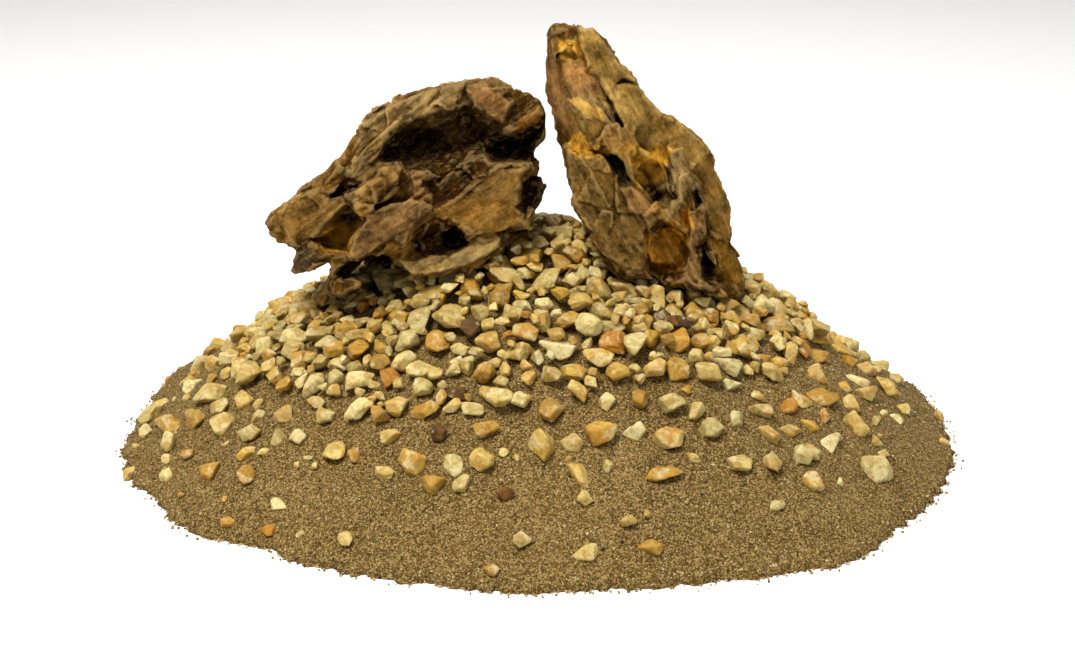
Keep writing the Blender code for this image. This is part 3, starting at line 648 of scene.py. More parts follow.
def work_outline(stone, row, outline, drift, seed):
    """Cuts along the sight lines inside an outline, or adds a plate there, down to its depth."""
    kind, _, face, depth, taper, blend, rough, lean = row
    corners = np.array(outline[1]) + (drift[0], drift[2])
    centre = corners.mean(0)
    face = face + drift[1]
    spread = taper * depth if kind == "add" else 0
    front = -60 if kind == "cut" else face - 6
    low = (corners[:, 0].min() - 5 - spread, front, corners[:, 1].min() - 16 - spread)
    high = (corners[:, 0].max() + 5 + spread, face + depth + 8, corners[:, 1].max() + 16 + spread)
    block = stone.block(low, high)
    places = stone.places(block)
    flat = places.reshape(-1, 3)
    stray = np.stack([layered_noise(flat, 6.0, 3, seed + 31 * axis) for axis in range(3)], 1) * rough
    flat = flat + stray
    side = outline_distance(flat, (outline[0] + drift[1], tuple(map(tuple, corners))))
    into = flat[:, 1] - (face + lean[0] * (flat[:, 0] - centre[0]) + lean[1] * (flat[:, 2] - centre[1]))
    if kind == "cut":
        distance = -smooth_min(-(side + taper * np.maximum(into, 0)), depth - into, blend)
    else:
        distance = -smooth_min(-(side - taper * np.clip(into, 0, depth)),
                               depth / 2 - np.abs(into - depth / 2), min(blend, 1.0))
    distance = distance.reshape(places.shape[:3])
    old = stone.field[block]
    if kind == "cut":
        stone.field[block] = -smooth_min(-old, distance, min(blend, 1.5))
    else:
        stone.field[block] = smooth_min(old, distance, blend)


def silhouette(stone, plane, cell=0.8):
    """Distance to the stone's outline as seen from EYE, on a grid over the plane Y = plane."""
    index = np.nonzero(stone.field < 0)
    points = np.stack([stone.axes[k][index[k]] for k in range(3)], 1).astype(np.float32)
    x, z = seen_on(points, plane)
    low = np.array([x.min(), z.min()]) - 12
    size = np.ceil((np.array([x.max(), z.max()]) + 12 - low) / cell).astype(int)
    inside = np.zeros(size, bool)
    inside[((x - low[0]) / cell).astype(int), ((z - low[1]) / cell).astype(int)] = True
    whole = inside.copy()
    for axis in (0, 1):
        whole &= np.roll(inside, 1, axis) & np.roll(inside, -1, axis)
    border = np.argwhere(inside & ~whole)
    tree = KDTree(len(border))
    for number, (i, j) in enumerate(border):
        tree.insert((i, j, 0), number)
    tree.balance()
    away = np.array([tree.find((i, j, 0))[2] for i, j in np.ndindex(*size)]).reshape(size) * cell
    return low, cell, np.where(inside, -away, away).astype(np.float32)


def keep_silhouette(stone, plane, rim, floor, seed):
    """Takes away whatever the work pushed out past the CAD stone's outline, above its foot."""
    low, cell, away = rim
    index = np.nonzero(stone.field < 3)
    points = np.stack([stone.axes[k][index[k]] for k in range(3)], 1).astype(np.float32)
    x, z = seen_on(points, plane)
    i = np.clip((x - low[0]) / cell - 0.5, 0, away.shape[0] - 1.01)
    j = np.clip((z - low[1]) / cell - 0.5, 0, away.shape[1] - 1.01)
    a, b = i.astype(int), j.astype(int)
    u, v = i - a, j - b
    side = ((away[a, b] * (1 - u) + away[a + 1, b] * u) * (1 - v)
            + (away[a, b + 1] * (1 - u) + away[a + 1, b + 1] * u) * v)
    side -= np.clip(floor - z, 0, 8)
    close = side > -4
    side[close] += 0.5 * layered_noise(points[close], 5.0, 3, seed)
    stone.field[index] = -smooth_min(-stone.field[index], -(side - 0.2), 1.0)


def rock_relief(points, seed, normal, strength, depth):
    """Depth of the surface relief: split plates, broken chips, pits and grit."""
    warped = points + np.stack([layered_noise(points, 14.0, 2, seed + axis) for axis in range(3)], 1) * 1.6
    relief = 1.1 * plates(warped, normal, 4.2, 17.0, seed + 3)
    relief += 0.65 * plates(warped, normal, 2.0, 9.0, seed + 7)
    relief += 0.35 * plates(points, normal, 1.2, 5.0, seed + 9)
    relief += 1.3 * facets(warped, 12.0, seed + 11) + 0.30 * facets(points, 4.2, seed + 13)
    relief += 0.35 * layered_noise(points, 5.0, 3, seed + 15)
    worn = np.clip(0.5 + 0.9 * gradient_noise(points / 15.0, seed + 17), 0.1, 1)
    pits = np.clip(gradient_noise(points / 2.3, seed + 19) - 0.3, 0, 1)
    relief += worn * (0.22 * layered_noise(points, 2.2, 2, seed + 23) - 0.9 * pits)
    return (depth * strength * relief - 0.25).astype(np.float32)


def occlusion(stone, points, normals):
    """How shut in each point is: the share of ways out that the stone itself blocks."""
    rise = 1 - 2 * (np.arange(24) + 0.5) / 24
    turn = math.pi * (3 - math.sqrt(5)) * np.arange(24)
    ways = np.stack([np.sqrt(1 - rise ** 2) * np.cos(turn), np.sqrt(1 - rise ** 2) * np.sin(turn), rise], 1)
    blocked = np.zeros(len(points), np.float32)
    for way in ways.astype(np.float32):
        bent = normals * 1.1 + way
        bent /= np.linalg.norm(bent, axis=1, keepdims=True) + 1e-6
        shut = np.zeros(len(points), bool)
        for reach in (1.5, 3.0, 5.5, 9.0, 14.0):
            shut |= stone.sample(points + bent * reach) < 0
        blocked += shut
    return blocked / len(ways)


def new_object(name, points, faces, smooth=True):
    mesh = bpy.data.meshes.new(name)
    mesh.from_pydata(points.tolist() if hasattr(points, "tolist") else points, [],
                     faces.tolist() if hasattr(faces, "tolist") else faces)
    mesh.update()
    if smooth:
        mesh.shade_smooth()
    obj = bpy.data.objects.new(name, mesh)
    bpy.context.scene.collection.objects.link(obj)
    return obj


def add_attribute(obj, name, values):
    layer = obj.data.attributes.new(name, "FLOAT", "POINT")
    layer.data.foreach_set("value", np.ascontiguousarray(values, np.float32))


def add_colours(obj, name, colours):
    layer = obj.data.attributes.new(name, "FLOAT_COLOR", "POINT")
    rows = np.concatenate([colours, np.ones((len(colours), 1))], 1).astype(np.float32)
    layer.data.foreach_set("color", rows.ravel())


def vertex_normals(obj):
    normals = np.zeros(len(obj.data.vertices) * 3, np.float32)
    obj.data.vertex_normals.foreach_get("vector", normals)
    return normals.reshape(-1, 3)


def clay_and_painted_shade_colours(node, outlines, drift, points, normals, seed):
    """Mottled brown clay all over, with the spots of other clays that show on the front, and painted shade
    in the dark hollows, cracks and gaps.
    """
    blend = np.clip(0.5 + 1.1 * layered_noise(points, 13.0, 3, seed), 0, 1)[:, None]
    colour = np.array(CLAYS["umber"]) * (1 - blend) * 0.6 + np.array(CLAYS["brown"]) * (0.4 + 0.6 * blend)
    for number, clay in enumerate(("ochre", "mauve", "pale", "olive")):
        share = np.clip(layered_noise(points, 18.0, 3, seed + 40 + number) * 2.2 - 0.45, 0, 0.75)[:, None]
        colour = colour * (1 - share) + np.array(CLAYS[clay]) * share
    stray = np.stack([layered_noise(points, 4.0, 3, seed + 31 * axis) for axis in range(3)], 1) * 0.9
    facing = np.clip(0.75 - normals[:, 1] * 2.0, 0, 1) * (points[:, 1] < 10)
    # colours inside the outlines; in the dark hollows, cracks and gaps they are painted shade
    for name, tint, strength, width in TINTS[node]:
        plane, corners = outlines[name]
        corners = tuple((x + drift[0], z + drift[2]) for x, z in corners)
        side = outline_distance(points + stray, (plane + drift[1], corners))
        share = (np.clip(0.5 - side / width, 0, 1) * strength * facing)[:, None]
        colour = colour * (1 - share) + np.array(tint) * share
    return colour * np.clip(1.02 + 0.75 * layered_noise(points, 6.5, 3, seed + 90), 0.45, 1.6)[:, None]


def add_masks(obj, stone, points, normals):
    """How shut in the surface is, and how far it stands out over a short and a longer reach."""
    add_attribute(obj, "hollow", occlusion(stone, points, normals))
    for name, reach in (("edge", 0.7), ("bulge", 2.2)):
        smoothed = stone.field.copy()
        for _ in range(int(round((reach / STONE_VOXEL) ** 2)) + 1):
            for axis in range(3):
                smoothed = (np.roll(smoothed, 1, axis) + 2 * smoothed + np.roll(smoothed, -1, axis)) / 4
        add_attribute(obj, name, np.clip(0.5 + stone.sample(points, smoothed) * 0.8 / reach, 0, 1))


def carve_stone(node, home, shapes, outlines, work, normal, depth, seed):
    """Carves one stone from its CAD node and gives its surface the masks that its material reads."""
    drift = np.array(Vector(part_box(node)[0]) / MM - home)
    stone = Carving(node, STONE_VOXEL)
    rim = silhouette(stone, RIM_PLANE)
    stone.soften(3)
    for number, (kind, centre, radii, turn, blend, rough) in enumerate(shapes):
        stone.shape(kind, Vector(centre) + Vector(drift), radii, turn, blend, rough, seed + 10 * number)
    for number, row in enumerate(work):
        work_outline(stone, row, outlines[row[1]], drift, seed + 500 + 10 * number)

    keep_silhouette(stone, RIM_PLANE, rim, FOOT_TOP[node], seed + 900)

    def depth_of(points):
        """The relief, calmer or rougher inside some outlines and none where the stones meet."""
        strength = np.ones(len(points), np.float32)
        for name, share in CALM[node]:
            side = outline_distance(points, outlines[name])
            inside = np.clip(0.5 - side / 2.5, 0, 1) * (points[:, 1] < 8)
            strength = strength * (1 - inside) + share * inside
        touch = np.exp(-((points[:, 0] - TOUCH[0]) ** 2 + (points[:, 2] - TOUCH[1]) ** 2) / 90)
        return rock_relief(points, seed + 3, normal, strength, depth) * (1 - touch)

    stone.displace(depth_of, 2.6)
    points, quads = stone.skin()
    edges = points[quads]
    facing = np.cross(edges[:, 2] - edges[:, 0], edges[:, 3] - edges[:, 1])
    if (facing * edges.mean(1)).sum() < 0:
        quads = quads[:, ::-1]
    obj = new_object(f"{node}_surface", points * MM, quads)
    normals = vertex_normals(obj)
    add_masks(obj, stone, points, normals)
    add_colours(obj, "clay", clay_and_painted_shade_colours(node, outlines, drift, points, normals, seed + 7))
    return obj, stone


def make_stones():
    left, left_field = carve_stone("left_rock", LEFT_HOME, LEFT_SHAPES, LEFT_OUTLINES, LEFT_WORK,
                                   (-0.60, 0.25, 0.76), 1.0, 1000)
    right, right_field = carve_stone("right_rock", RIGHT_HOME, RIGHT_SHAPES, RIGHT_OUTLINES, RIGHT_WORK,
                                     (0.84, -0.2, 0.5), 0.85, 2000)
    for obj, node, grain in ((left, "left_rock", 32), (right, "right_rock", -63)):
        obj.data.materials.append(stone_material(f"{node}_clay", grain))
        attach(obj, node)
        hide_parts(node)
    return left_field, right_field


# Ground --------------------------------------------------------------------------------------------


class Ground:
    """Heights in millimetres of the CAD sand and gravel over a grid, and the room under the stones."""

    CELL = 0.8

    def __init__(self, stones):
        low, high = (np.array(corner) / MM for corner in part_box("sand_mound"))
        self.low = low[:2] - 6
        self.shape = tuple(np.ceil((high[:2] + 6 - self.low) / self.CELL).astype(int))
        self.sand = self.drop("sand_mound")
        self.bed = self.drop("gravel_bed")
        self.roof = self.ceiling(stones)

    def drop(self, node):
        """Height of the top of one CAD node in each cell, or nan beside it."""
        points, triangles = mesh_arrays(NODES[node])
        tree = BVHTree.FromPolygons(points.tolist(), triangles.tolist())
        heights = np.full(self.shape, np.nan, np.float32)
        down = Vector((0, 0, -1))
        for i in range(self.shape[0]):
            x = self.low[0] + i * self.CELL
            for j in range(self.shape[1]):
                hit = tree.ray_cast(Vector((x, self.low[1] + j * self.CELL, 400.0)), down)[0]
                if hit:
                    heights[i, j] = hit.z
        return heights

    def ceiling(self, stones):
        """Lowest point of either stone above each cell, or a large number where it is open."""
        roof = np.full(self.shape, 1e6, np.float32)
        for stone in stones:
            solid = stone.field < 0
            lowest = np.where(solid.any(2), stone.axes[2][solid.argmax(2)], 1e6)
            i, j = np.nonzero(solid.any(2))
            cells = self.cells(np.stack([stone.axes[0][i], stone.axes[1][j]], 1))
            np.minimum.at(roof, (cells[:, 0], cells[:, 1]), lowest[i, j])
        return roof

    def cells(self, places):
        index = np.rint((places[:, :2] - self.low) / self.CELL).astype(int)
        return np.clip(index, 0, np.array(self.shape) - 1)

    def at(self, heights, places):
        """Heights at places between the cells' middles."""
        spot = np.clip((places[:, :2] - self.low) / self.CELL, 0, np.array(self.shape) - 1.001)
        cell = spot.astype(int)
        part = spot - cell
        total = 0
        for dx, dy in ((0, 0), (1, 0), (0, 1), (1, 1)):
            share = (part[:, 0] if dx else 1 - part[:, 0]) * (part[:, 1] if dy else 1 - part[:, 1])
            total = total + share * heights[cell[:, 0] + dx, cell[:, 1] + dy]
        return total


def blurred(heights, passes):
    """Averages neighbouring cells, leaving out the empty ones."""
    known = np.isfinite(heights).astype(np.float32)
    values = np.where(known > 0, heights, 0).astype(np.float32)
    for _ in range(passes):
        for axis in (0, 1):
            values = (np.roll(values, 1, axis) + 2 * values + np.roll(values, -1, axis)) / 4
            known = (np.roll(known, 1, axis) + 2 * known + np.roll(known, -1, axis)) / 4
    return np.where(known > 1e-3, values / np.maximum(known, 1e-3), 0)


RIM_STEPS = 1200
SLOPE_STEPS = 130


def rim_radius(ground, angles):
    """How far the CAD sand reaches in each direction."""
    reach = np.arange(100.0, 145.0, 0.2)
    radii = []
    for angle in angles:
        line = np.stack([reach * math.cos(angle), reach * math.sin(angle)], 1)
        cells = ground.cells(line)
        inside = np.isfinite(ground.sand[cells[:, 0], cells[:, 1]])
        radii.append(reach[inside].max())
    return np.array(radii)


def sand_faces(rows, foot):
    """Quads between the rings of the sand, and fans at its peak and under it. foot is the last vertex."""
    spokes = np.arange(RIM_STEPS)
    following = (spokes + 1) % RIM_STEPS
    faces = []
    for row in range(rows - 1):
        a, b = row * RIM_STEPS, (row + 1) * RIM_STEPS
        faces.extend(np.stack([a + spokes, b + spokes, b + following, a + following], 1).tolist())
    peak, under, last = rows * RIM_STEPS, rows * RIM_STEPS + 1, (rows - 1) * RIM_STEPS
    for i, j in zip(spokes, following):
        faces.append((peak, i, j))
        faces.append((last + i, under + i, under + j, last + j))
        faces.append((foot, under + j, under + i))
    return faces


def make_sand(ground):
    """One fine sheet of sand over the CAD mound, with a crumbling foot and a flat underside."""
    angles = np.linspace(0, 2 * math.pi, RIM_STEPS, endpoint=False)
    rim = rim_radius(ground, angles)
    for _ in range(6):
        rim = (np.roll(rim, 1) + 2 * rim + np.roll(rim, -1)) / 4
    circle = np.stack([np.cos(angles), np.sin(angles), np.zeros_like(angles)], 1) * 130
    rim += 1.9 * layered_noise(circle, 12, 3, 301) + 1.5 * layered_noise(circle, 3.6, 3, 311) - 0.5
    smooth = blurred(ground.sand, 10)
    share = np.linspace(0, 1, SLOPE_STEPS + 1)[1:]
    share = 1 - (1 - share) ** 1.15
    radius = share[:, None] * rim[None, :]
    flat = np.stack([radius * np.cos(angles), radius * np.sin(angles), np.zeros_like(radius)], 2)
    flat = flat.reshape(-1, 3)
    height = ground.at(smooth, flat)
    lumps = 0.8 * layered_noise(flat, 15, 3, 321) + 0.25 * layered_noise(flat, 3.4, 2, 331)
    grains = 0.20 * gradient_noise(flat / 1.1, 341) + 0.12 * gradient_noise(flat / 0.7, 343)
    away = ((1 - share)[:, None] * rim[None, :]).reshape(-1)
    edge = np.clip(away / 7.0, 0, 1)
    height = height * np.clip(away / 1.5, 0, 1) ** 0.5 + lumps * edge + grains * np.clip(away / 2, 0.3, 1)
    height = np.maximum(height, 0.25)
    flat[:, 2] = height
    top = np.array([[0, 0, float(ground.at(smooth, np.zeros((1, 3)))[0])]])
    below = flat[-RIM_STEPS:] * (0.998, 0.998, 0)
    points = np.concatenate([flat, top, below, [[0, 0, 0]]])
    obj = new_object("sand_surface", points * MM, sand_faces(len(share), len(points) - 1))
    obj.data.materials.append(sand_material())
    return obj, rim, angles


# Gravel --------------------------------------------------------------------------------------------


TONES = {  # colour of each kind of gravel, and how much iron stain it carries
    "cream": ((0.58, 0.440, 0.135), 0.55),
    "white": ((0.66, 0.560, 0.245), 0.25),
    "grey": ((0.49, 0.395, 0.140), 0.35),
    "honey": ((0.50, 0.320, 0.048), 0.70),
    "yellow": ((0.53, 0.350, 0.060), 0.55),
    "orange": ((0.42, 0.195, 0.018), 0.80),
    "tan": ((0.44, 0.285, 0.060), 0.50),
    "ochre": ((0.38, 0.230, 0.036), 0.70),
    "brown": ((0.18, 0.080, 0.011), 0.30),
    "dark": ((0.075, 0.036, 0.008), 0.20),
}
CROWN_MIX = (("cream", 36), ("white", 20), ("grey", 20), ("honey", 12), ("yellow", 7), ("tan", 5),
             ("orange", 4), ("ochre", 2), ("dark", 0.6))
GRAINS = ((0.36, 0.24, 0.085), (0.17, 0.095, 0.02), (0.52, 0.40, 0.19), (0.03, 0.016, 0.005))


def unit_ball(level):
    bm = bmesh.new()
    bmesh.ops.create_icosphere(bm, subdivisions=level, radius=1.0)
    points = np.array([v.co for v in bm.verts], np.float32)
    faces = np.array([[v.index for v in face.verts] for face in bm.faces])
    bm.free()
    return points, faces


BALLS = {level: unit_ball(level) for level in (1, 3, 4)}
LEVELS = {len(points): level for level, (points, _) in BALLS.items()}


def pebble_shape(rng, radii, level):
    """A stone with flat broken sides and worn edges around the origin, in millimetres."""
    ball = BALLS[level][0]
    count = int(rng.integers(7, 13))
    turn = math.pi * (3 - math.sqrt(5))
    rise = 1 - 2 * (np.arange(count) + 0.5) / count
    round_ = np.sqrt(1 - rise ** 2)
    sides = np.stack([round_ * np.cos(turn * np.arange(count)), round_ * np.sin(turn * np.arange(count)),
                      rise], 1) + rng.normal(0, 0.26, (count, 3))
    sides /= np.linalg.norm(sides, axis=1, keepdims=True)
    depth = rng.uniform(0.58, 1.0, count)
    sharp = rng.uniform(13, 34)
    push = np.maximum(ball @ sides.T / depth, 0) ** sharp
    radius = np.clip(np.maximum(push.sum(1), 1e-9) ** (-1 / sharp), 0.3, 1.35)
    place = ball + rng.uniform(-50, 50, 3).astype(np.float32)
    radius = radius * (1 + 0.07 * gradient_noise(place * 1.6, 3) + 0.022 * gradient_noise(place * 4.5, 5))
    return (ball * radius[:, None] * np.array(radii)).astype(np.float32)


def spin(rng, points, lean):
    """Turns a stone any way round the vertical and leans it by up to lean radians."""
    matrix = (Matrix.Rotation(rng.uniform(-lean, lean), 3, "X") @ Matrix.Rotation(
        rng.uniform(-lean, lean), 3, "Y") @ Matrix.Rotation(rng.uniform(0, 2 * math.pi), 3, "Z"))
    return points @ np.array(matrix, np.float32).T


class Heap:
    """Stones laid one at a time over the ground, each resting on those before it."""

    def __init__(self, ground, seed):
        self.ground = ground
        self.rng = np.random.default_rng(seed)
        self.top = np.where(np.isfinite(ground.sand), ground.sand, 0).astype(np.float32)
        self.base = self.top.copy()
        self.taken = np.zeros(ground.shape, bool)
        self.stones = []

    def profile(self, points):
        """Cells that a stone covers, with its lowest and highest points in them."""
        cell = Ground.CELL
        index = np.rint(points[:, :2] / cell).astype(int)
        low = index.min(0)
        size = index.max(0) - low + 1
        bottom = np.full(size, 1e6, np.float32)
        summit = np.full(size, -1e6, np.float32)
        np.minimum.at(bottom, (index[:, 0] - low[0], index[:, 1] - low[1]), points[:, 2])
        np.maximum.at(summit, (index[:, 0] - low[0], index[:, 1] - low[1]), points[:, 2])
        return low, size, bottom, summit

    def window(self, place, low, size):
        start = np.rint((np.array(place) - self.ground.low) / Ground.CELL).astype(int) + low
        if (start < 0).any() or (start + size > self.ground.shape).any():
            return None
        return slice(start[0], start[0] + size[0]), slice(start[1], start[1] + size[1])

    def drop(self, points, places, level, sink):
        """Lays a stone where it comes to rest lowest, if it stays under level and the stones' roof."""
        low, size, bottom, summit = self.profile(points)
        best = None
        for place in places:
            window = self.window(place, low, size)
            if window is None:
                continue
            rest = float((self.top[window] - bottom).max()) - sink
            covered = summit > -1e5
            limit = level[window][size[0] // 2, size[1] // 2]
            if rest + summit.max() > limit or (self.taken[window] & covered).mean() > 0.12:
                continue
            if (rest + summit[covered] > self.ground.roof[window][covered] - 0.2).any():
                continue
            score = rest - limit
            if best is None or score < best[0]:
                best = (score, rest, place, window)
        if best is None:
            return False
        _, rest, place, window = best
        self.top[window] = np.maximum(self.top[window], rest + summit)
        self.place(points, (place[0], place[1], rest))
        return True

    def place(self, points, centre, tone=None):
        self.stones.append((points + np.array(centre, np.float32), tone))

    def settle(self, points, place, buried):
        """Half sinks a stone into the sand where there is room for it, leaning with the slope."""
        low, size, bottom, summit = self.profile(points)
        window = self.window(place, low, size)
        if window is None:
            return False
        covered = summit > -1e5
        if (self.taken[window] & covered).any() or (self.top[window] > self.base[window] + 0.3).any():
            return False
        ground = self.base[window][covered]
        rest = float(ground.mean()) - float(bottom.min()) - buried * float(summit.max() - bottom.min())
        if (rest + summit[covered] > self.ground.roof[window][covered] - 0.2).any():
            return False
        self.top[window] = np.maximum(self.top[window], rest + summit)
        self.place(points, (place[0], place[1], rest))
        return True


def slope_of(ground, heights, place):
    """Rotation that lays flat things onto the ground at a place."""
    step = 4.0
    spots = np.array([(place[0] + step, place[1]), (place[0] - step, place[1]),
                      (place[0], place[1] + step), (place[0], place[1] - step)])
    east, west, north, south = ground.at(heights, spots)
    up = Vector(((west - east) / (2 * step), (south - north) / (2 * step), 1)).normalized()
    return np.array(Vector((0, 0, 1)).rotation_difference(up).to_matrix(), np.float32)


def pebble_radii(rng, middle, spread):
    length = float(np.clip(rng.normal(middle, spread), middle * 0.55, middle * 1.6))
    return length * rng.uniform(1.0, 1.3), length * rng.uniform(0.78, 1.0), length * rng.uniform(0.62, 0.85)


def crown_reach(points):
    """How far out each place is: under 1 where gravel covers the sand, more down the slopes."""
    reach = np.hypot((points[:, 0] + 4) / 97, (points[:, 1] - 4) / 74)
    flat = np.concatenate([points[:, :2], np.zeros((len(points), 1))], 1).astype(np.float32)
    return reach + 0.10 * layered_noise(flat, 26, 3, 401)


CROWN_EDGE = 1.04  # reach up to which gravel covers the sand
CROWN_LAYER = 6.2  # height of the gravel over the sand
OVER_BED = 2.4  # how far it may rise over the top of the CAD gravel
HEAPS = (  # X, Y, height, spread along X and Y of the places where it lies higher or lower
    (84, 6, 5.5, 20, 20), (-84, 6, 2.5, 20, 20), (-55, -16, -5.0, 13, 15),
)
CROWN_TRIES = 9500
LATE = 0.6  # share of the tries after which only small stones fall, into the gaps
SLOPE_TRIES = 9000
THINNING = ((1.08, 1.2, 1.3, 1.38, 1.5, 1.8), (1.0, 0.7, 0.22, 0.04, 0.012, 0.004))  # reach, chance


def crown_level(ground, smooth, cells, reach):
    """Height in each cell up to which gravel is heaped, or below zero where there is none."""
    level = np.full(ground.shape, -100.0, np.float32)
    cover = reach < CROWN_EDGE
    level[cells[cover, 0], cells[cover, 1]] = smooth[cells[cover, 0], cells[cover, 1]] + CROWN_LAYER
    level = np.where(np.isfinite(ground.bed), np.maximum(level, ground.bed + OVER_BED), level)
    x = ground.low[0] + np.arange(ground.shape[0])[:, None] * Ground.CELL
    y = ground.low[1] + np.arange(ground.shape[1])[None, :] * Ground.CELL
    heaped = 0
    for middle_x, middle_y, height, spread_x, spread_y in HEAPS:
        away = ((x - middle_x) / spread_x) ** 2 + ((y - middle_y) / spread_y) ** 2
        heaped = heaped + height * np.exp(-away)
    return level + heaped


def fill_crown(heap, ground, smooth):
    """Heaps gravel up to the CAD gravel's top, and one layer over the sand around it."""
    rng = heap.rng
    cells = np.argwhere(np.isfinite(ground.sand))
    level = crown_level(ground, smooth, cells, crown_reach(ground.low + cells * Ground.CELL))
    cells = cells[level[cells[:, 0], cells[:, 1]] > 0]
    for count in range(CROWN_TRIES):
        radii = pebble_radii(rng, 2.8 if count > CROWN_TRIES * LATE else 4.3, 0.9)
        cell = cells[rng.integers(len(cells))]
        place = ground.low + cell * Ground.CELL
        fine = 4 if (place[1] < 5) else 3
        points = spin(rng, pebble_shape(rng, radii, fine), 0.45)
        points = points @ slope_of(ground, smooth, place).T
        heap.drop(points, place + rng.normal(0, 2.6, (10, 2)), level, 0.35)


def scatter_slope(heap, ground, smooth):
    """Loose stones half sunk in the sand below the crown, thinning out down the slope."""
    rng = heap.rng
    cells = np.argwhere(np.isfinite(ground.sand))
    chances = np.interp(crown_reach(ground.low + cells * Ground.CELL), *THINNING)
    for _ in range(SLOPE_TRIES):
        pick = rng.integers(len(cells))
        chance = chances[pick]
        if rng.random() > chance:
            continue
        place = ground.low + cells[pick] * Ground.CELL
        radii = pebble_radii(rng, 3.8 if rng.random() < 0.25 + chance else 2.0, 0.9)
        fine = 4 if place[1] < 0 and radii[0] > 2.5 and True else 3
        points = spin(rng, pebble_shape(rng, radii, fine), 0.3) @ slope_of(ground, smooth, place).T
        heap.settle(points, place, rng.uniform(0.25, 0.58))


def joined_stones(name, stones, rng):
    """One object of many stones, each with its own tint and stain."""
    points, faces, tints, stains = [], [], [], []
    names = [tone for tone, _ in CROWN_MIX]
    weights = np.array([share for _, share in CROWN_MIX])
    total = 0
    for shape, tone in stones:
        tone = tone or names[rng.choice(len(names), p=weights / weights.sum())]
        colour, stain = TONES[tone]
        points.append(shape)
        faces.append(BALLS[LEVELS[len(shape)]][1] + total)
        total += len(shape)
        shade = rng.uniform(0.84, 1.12) * (1 + rng.normal(0, 0.06) * np.array((0, 0.4, 1.4)))
        tints.append(np.tile(np.clip(np.array(colour) * shade, 0, 0.9), (len(shape), 1)))
        stains.append(np.full(len(shape), stain * rng.uniform(0.4, 1.4)))
    obj = new_object(name, np.concatenate(points) * MM, np.concatenate(faces))
    add_colours(obj, "tint", np.concatenate(tints))
    add_attribute(obj, "stain", np.concatenate(stains))
    return obj


def named_pebbles(heap, materials):
    """Swaps each single CAD pebble for a finer one in the same box."""
    rng = np.random.default_rng(77)
    for node in sorted(name for name in NODES if "_pebble_" in name):
        low, high = (np.array(corner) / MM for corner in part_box(node))
        tone = node.split("_")[0]
        radii = (high - low) / 2
        points = pebble_shape(rng, radii, 4)
        points = (points - points.min(0)) / (points.max(0) - points.min(0)) * (high - low) + low
        index = heap.ground.cells(points)
        heap.taken[index[:, 0], index[:, 1]] = True
        obj = joined_stones(f"{node}_fine", [(points, tone)], rng)
        kind = "stone" if tone in ("ochre", "brown", "dark") else "quartz"
        obj.data.materials.append(materials[kind])
        dress(obj, node)


def loose_grains(ground, rim, angles):
    """Single grains lying over the slope and crumbling off its foot."""
    rng = np.random.default_rng(61)
    count = 9000
    turn = rng.uniform(0, 2 * math.pi, count)
    foot = np.interp(turn, angles, rim, period=2 * math.pi)
    away = np.where(np.arange(count) % 2, rng.exponential(0.9, count) - 1.6, -rng.uniform(0, 70, count))
    reach = foot + np.minimum(away, 3.0)
    places = np.stack([reach * np.cos(turn), reach * np.sin(turn)], 1)
    heights = np.where(away < -1.5, ground.at(blurred(ground.sand, 10), places), 0.3)
    size = rng.uniform(0.24, 0.52, (count, 1, 1)) * rng.uniform(0.7, 1.2, (count, 1, 3))
    ball, faces = BALLS[1]
    shapes = ball[None] * size * rng.uniform(0.8, 1.15, (count, len(ball), 1))
    shapes += np.concatenate([places, heights[:, None]], 1)[:, None, :]
    shapes[:, :, 2] = np.maximum(shapes[:, :, 2], 0.02)
    numbers = faces[None] + (np.arange(count) * len(ball))[:, None, None]
    obj = new_object("loose_grains", shapes.reshape(-1, 3) * MM, numbers.reshape(-1, 3))
    tints = np.array(GRAINS)[rng.choice(4, count, p=(0.5, 0.27, 0.13, 0.10))]
    add_colours(obj, "tint", np.repeat(tints, len(ball), axis=0))
    add_attribute(obj, "stain", np.zeros(count * len(ball)))
    obj.data.materials.append(gravel_material("sand_grains", 0.45, 0.0))
    return obj


def dress(obj, node):
    """Lets a piece of the ground ride on the root body and stand for a CAD node."""
    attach(obj, "root")
    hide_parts(node)


def gravel_group(stone, zone):
    """Name of the piece that a stone is joined to: the back, or one of four strips of the front."""
    x, y = stone[:, 0].mean(), stone[:, 1].mean()
    side = "back" if y > 5 else f"front_{int(np.clip((x + 100) / 50, 0, 3)) + 1}"
    return f"{zone}_gravel_{side}"


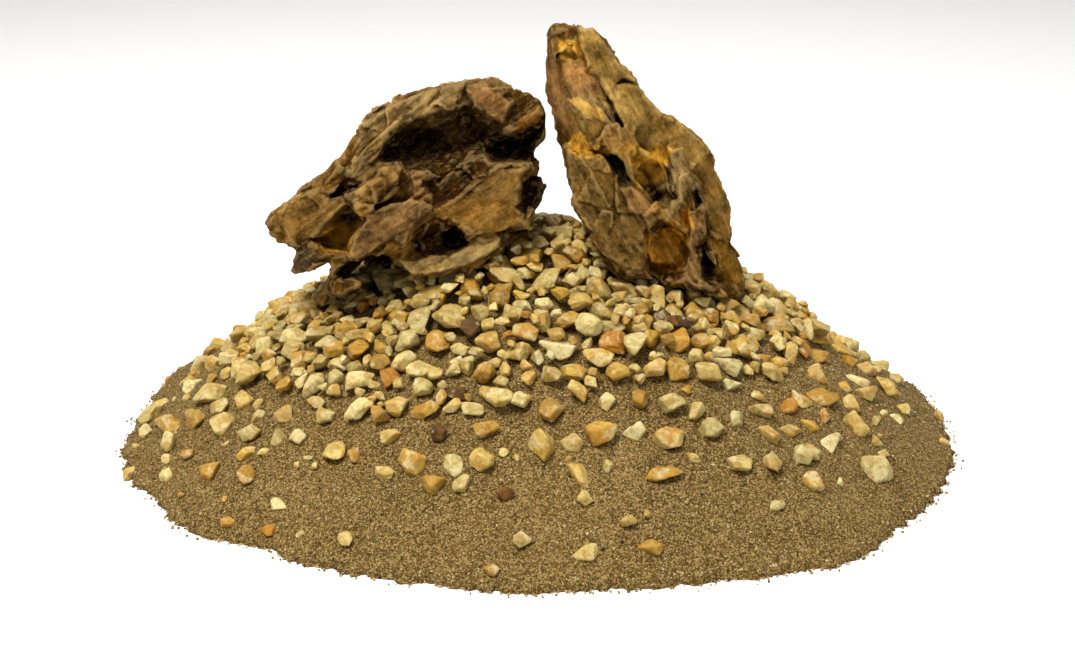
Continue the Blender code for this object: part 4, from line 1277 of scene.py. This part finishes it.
def make_ground(stones):
    ground = Ground(stones)
    sand, rim, angles = make_sand(ground)
    smooth = blurred(ground.sand, 10)
    quartz, stone = gravel_material("quartz_gravel", 0.30, 0.22), gravel_material("rough_gravel", 0.62, 0.0)
    heap = Heap(ground, 5)
    named_pebbles(heap, {"quartz": quartz, "stone": stone})
    fill_crown(heap, ground, smooth)
    crown = len(heap.stones)
    scatter_slope(heap, ground, smooth)
    rng = np.random.default_rng(91)
    groups = {}
    for number, row in enumerate(heap.stones):
        name = gravel_group(row[0], "slope" if number >= crown else "crown")
        groups.setdefault(name, []).append(row)
    for name, rows in sorted(groups.items()):
        obj = joined_stones(name, rows, rng)
        obj.data.materials.append(quartz)
        dress(obj, "gravel_bed")
    for obj in (sand, loose_grains(ground, rim, angles)):
        dress(obj, "sand_mound")


# Stage ---------------------------------------------------------------------------------------------


def make_stage():
    floor = new_object("floor", [(-3, -3, 0), (3, -3, 0), (3, 3, 0), (-3, 3, 0)], [(0, 1, 2, 3)], False)
    n = Nodes("pale_floor")
    n.shader.inputs["Base Color"].default_value = (0.88, 0.88, 0.87, 1)
    n.shader.inputs["Roughness"].default_value = 0.7
    floor.data.materials.append(n.material)


def add_area_light(name, place, target, size, power, colour=(1, 1, 1)):
    light = bpy.data.lights.new(name, "AREA")
    light.shape = "DISK"
    light.size = size
    light.energy = power
    light.color = colour
    obj = bpy.data.objects.new(name, light)
    obj.location = place
    obj.rotation_euler = (Vector(target) - Vector(place)).to_track_quat("-Z", "Y").to_euler()
    bpy.context.scene.collection.objects.link(obj)


def make_lights():
    middle = (0.0, 0.0, 0.07)
    add_area_light("key", (-0.35, -0.45, 1.1), middle, 0.45, 17.0, (1.0, 0.96, 0.90))
    add_area_light("fill", (0.9, -0.8, 0.6), middle, 0.9, 2.5)
    add_area_light("top", (0.1, 0.5, 1.2), middle, 1.0, 8.0)
    world = bpy.data.worlds.new("studio")
    world.use_nodes = True
    world.node_tree.nodes["Background"].inputs["Color"].default_value = (1.0, 1.0, 1.0, 1.0)
    world.node_tree.nodes["Background"].inputs["Strength"].default_value = 0.36
    bpy.context.scene.world = world
    bpy.context.scene.view_settings.view_transform = "Standard"


def make_camera():
    camera = bpy.data.objects.new("camera", bpy.data.cameras.new("camera"))
    camera.data.sensor_width = 36.0
    camera.data.lens = 56.4
    camera.data.clip_start = 0.01
    camera.location = (0.0, -0.5374, 0.2311)
    camera.rotation_euler = (math.radians(70.0), 0.0, math.radians(0.116))
    bpy.context.scene.collection.objects.link(camera)
    bpy.context.scene.camera = camera


make_camera()
make_ground(make_stones())
make_stage()
make_lights()
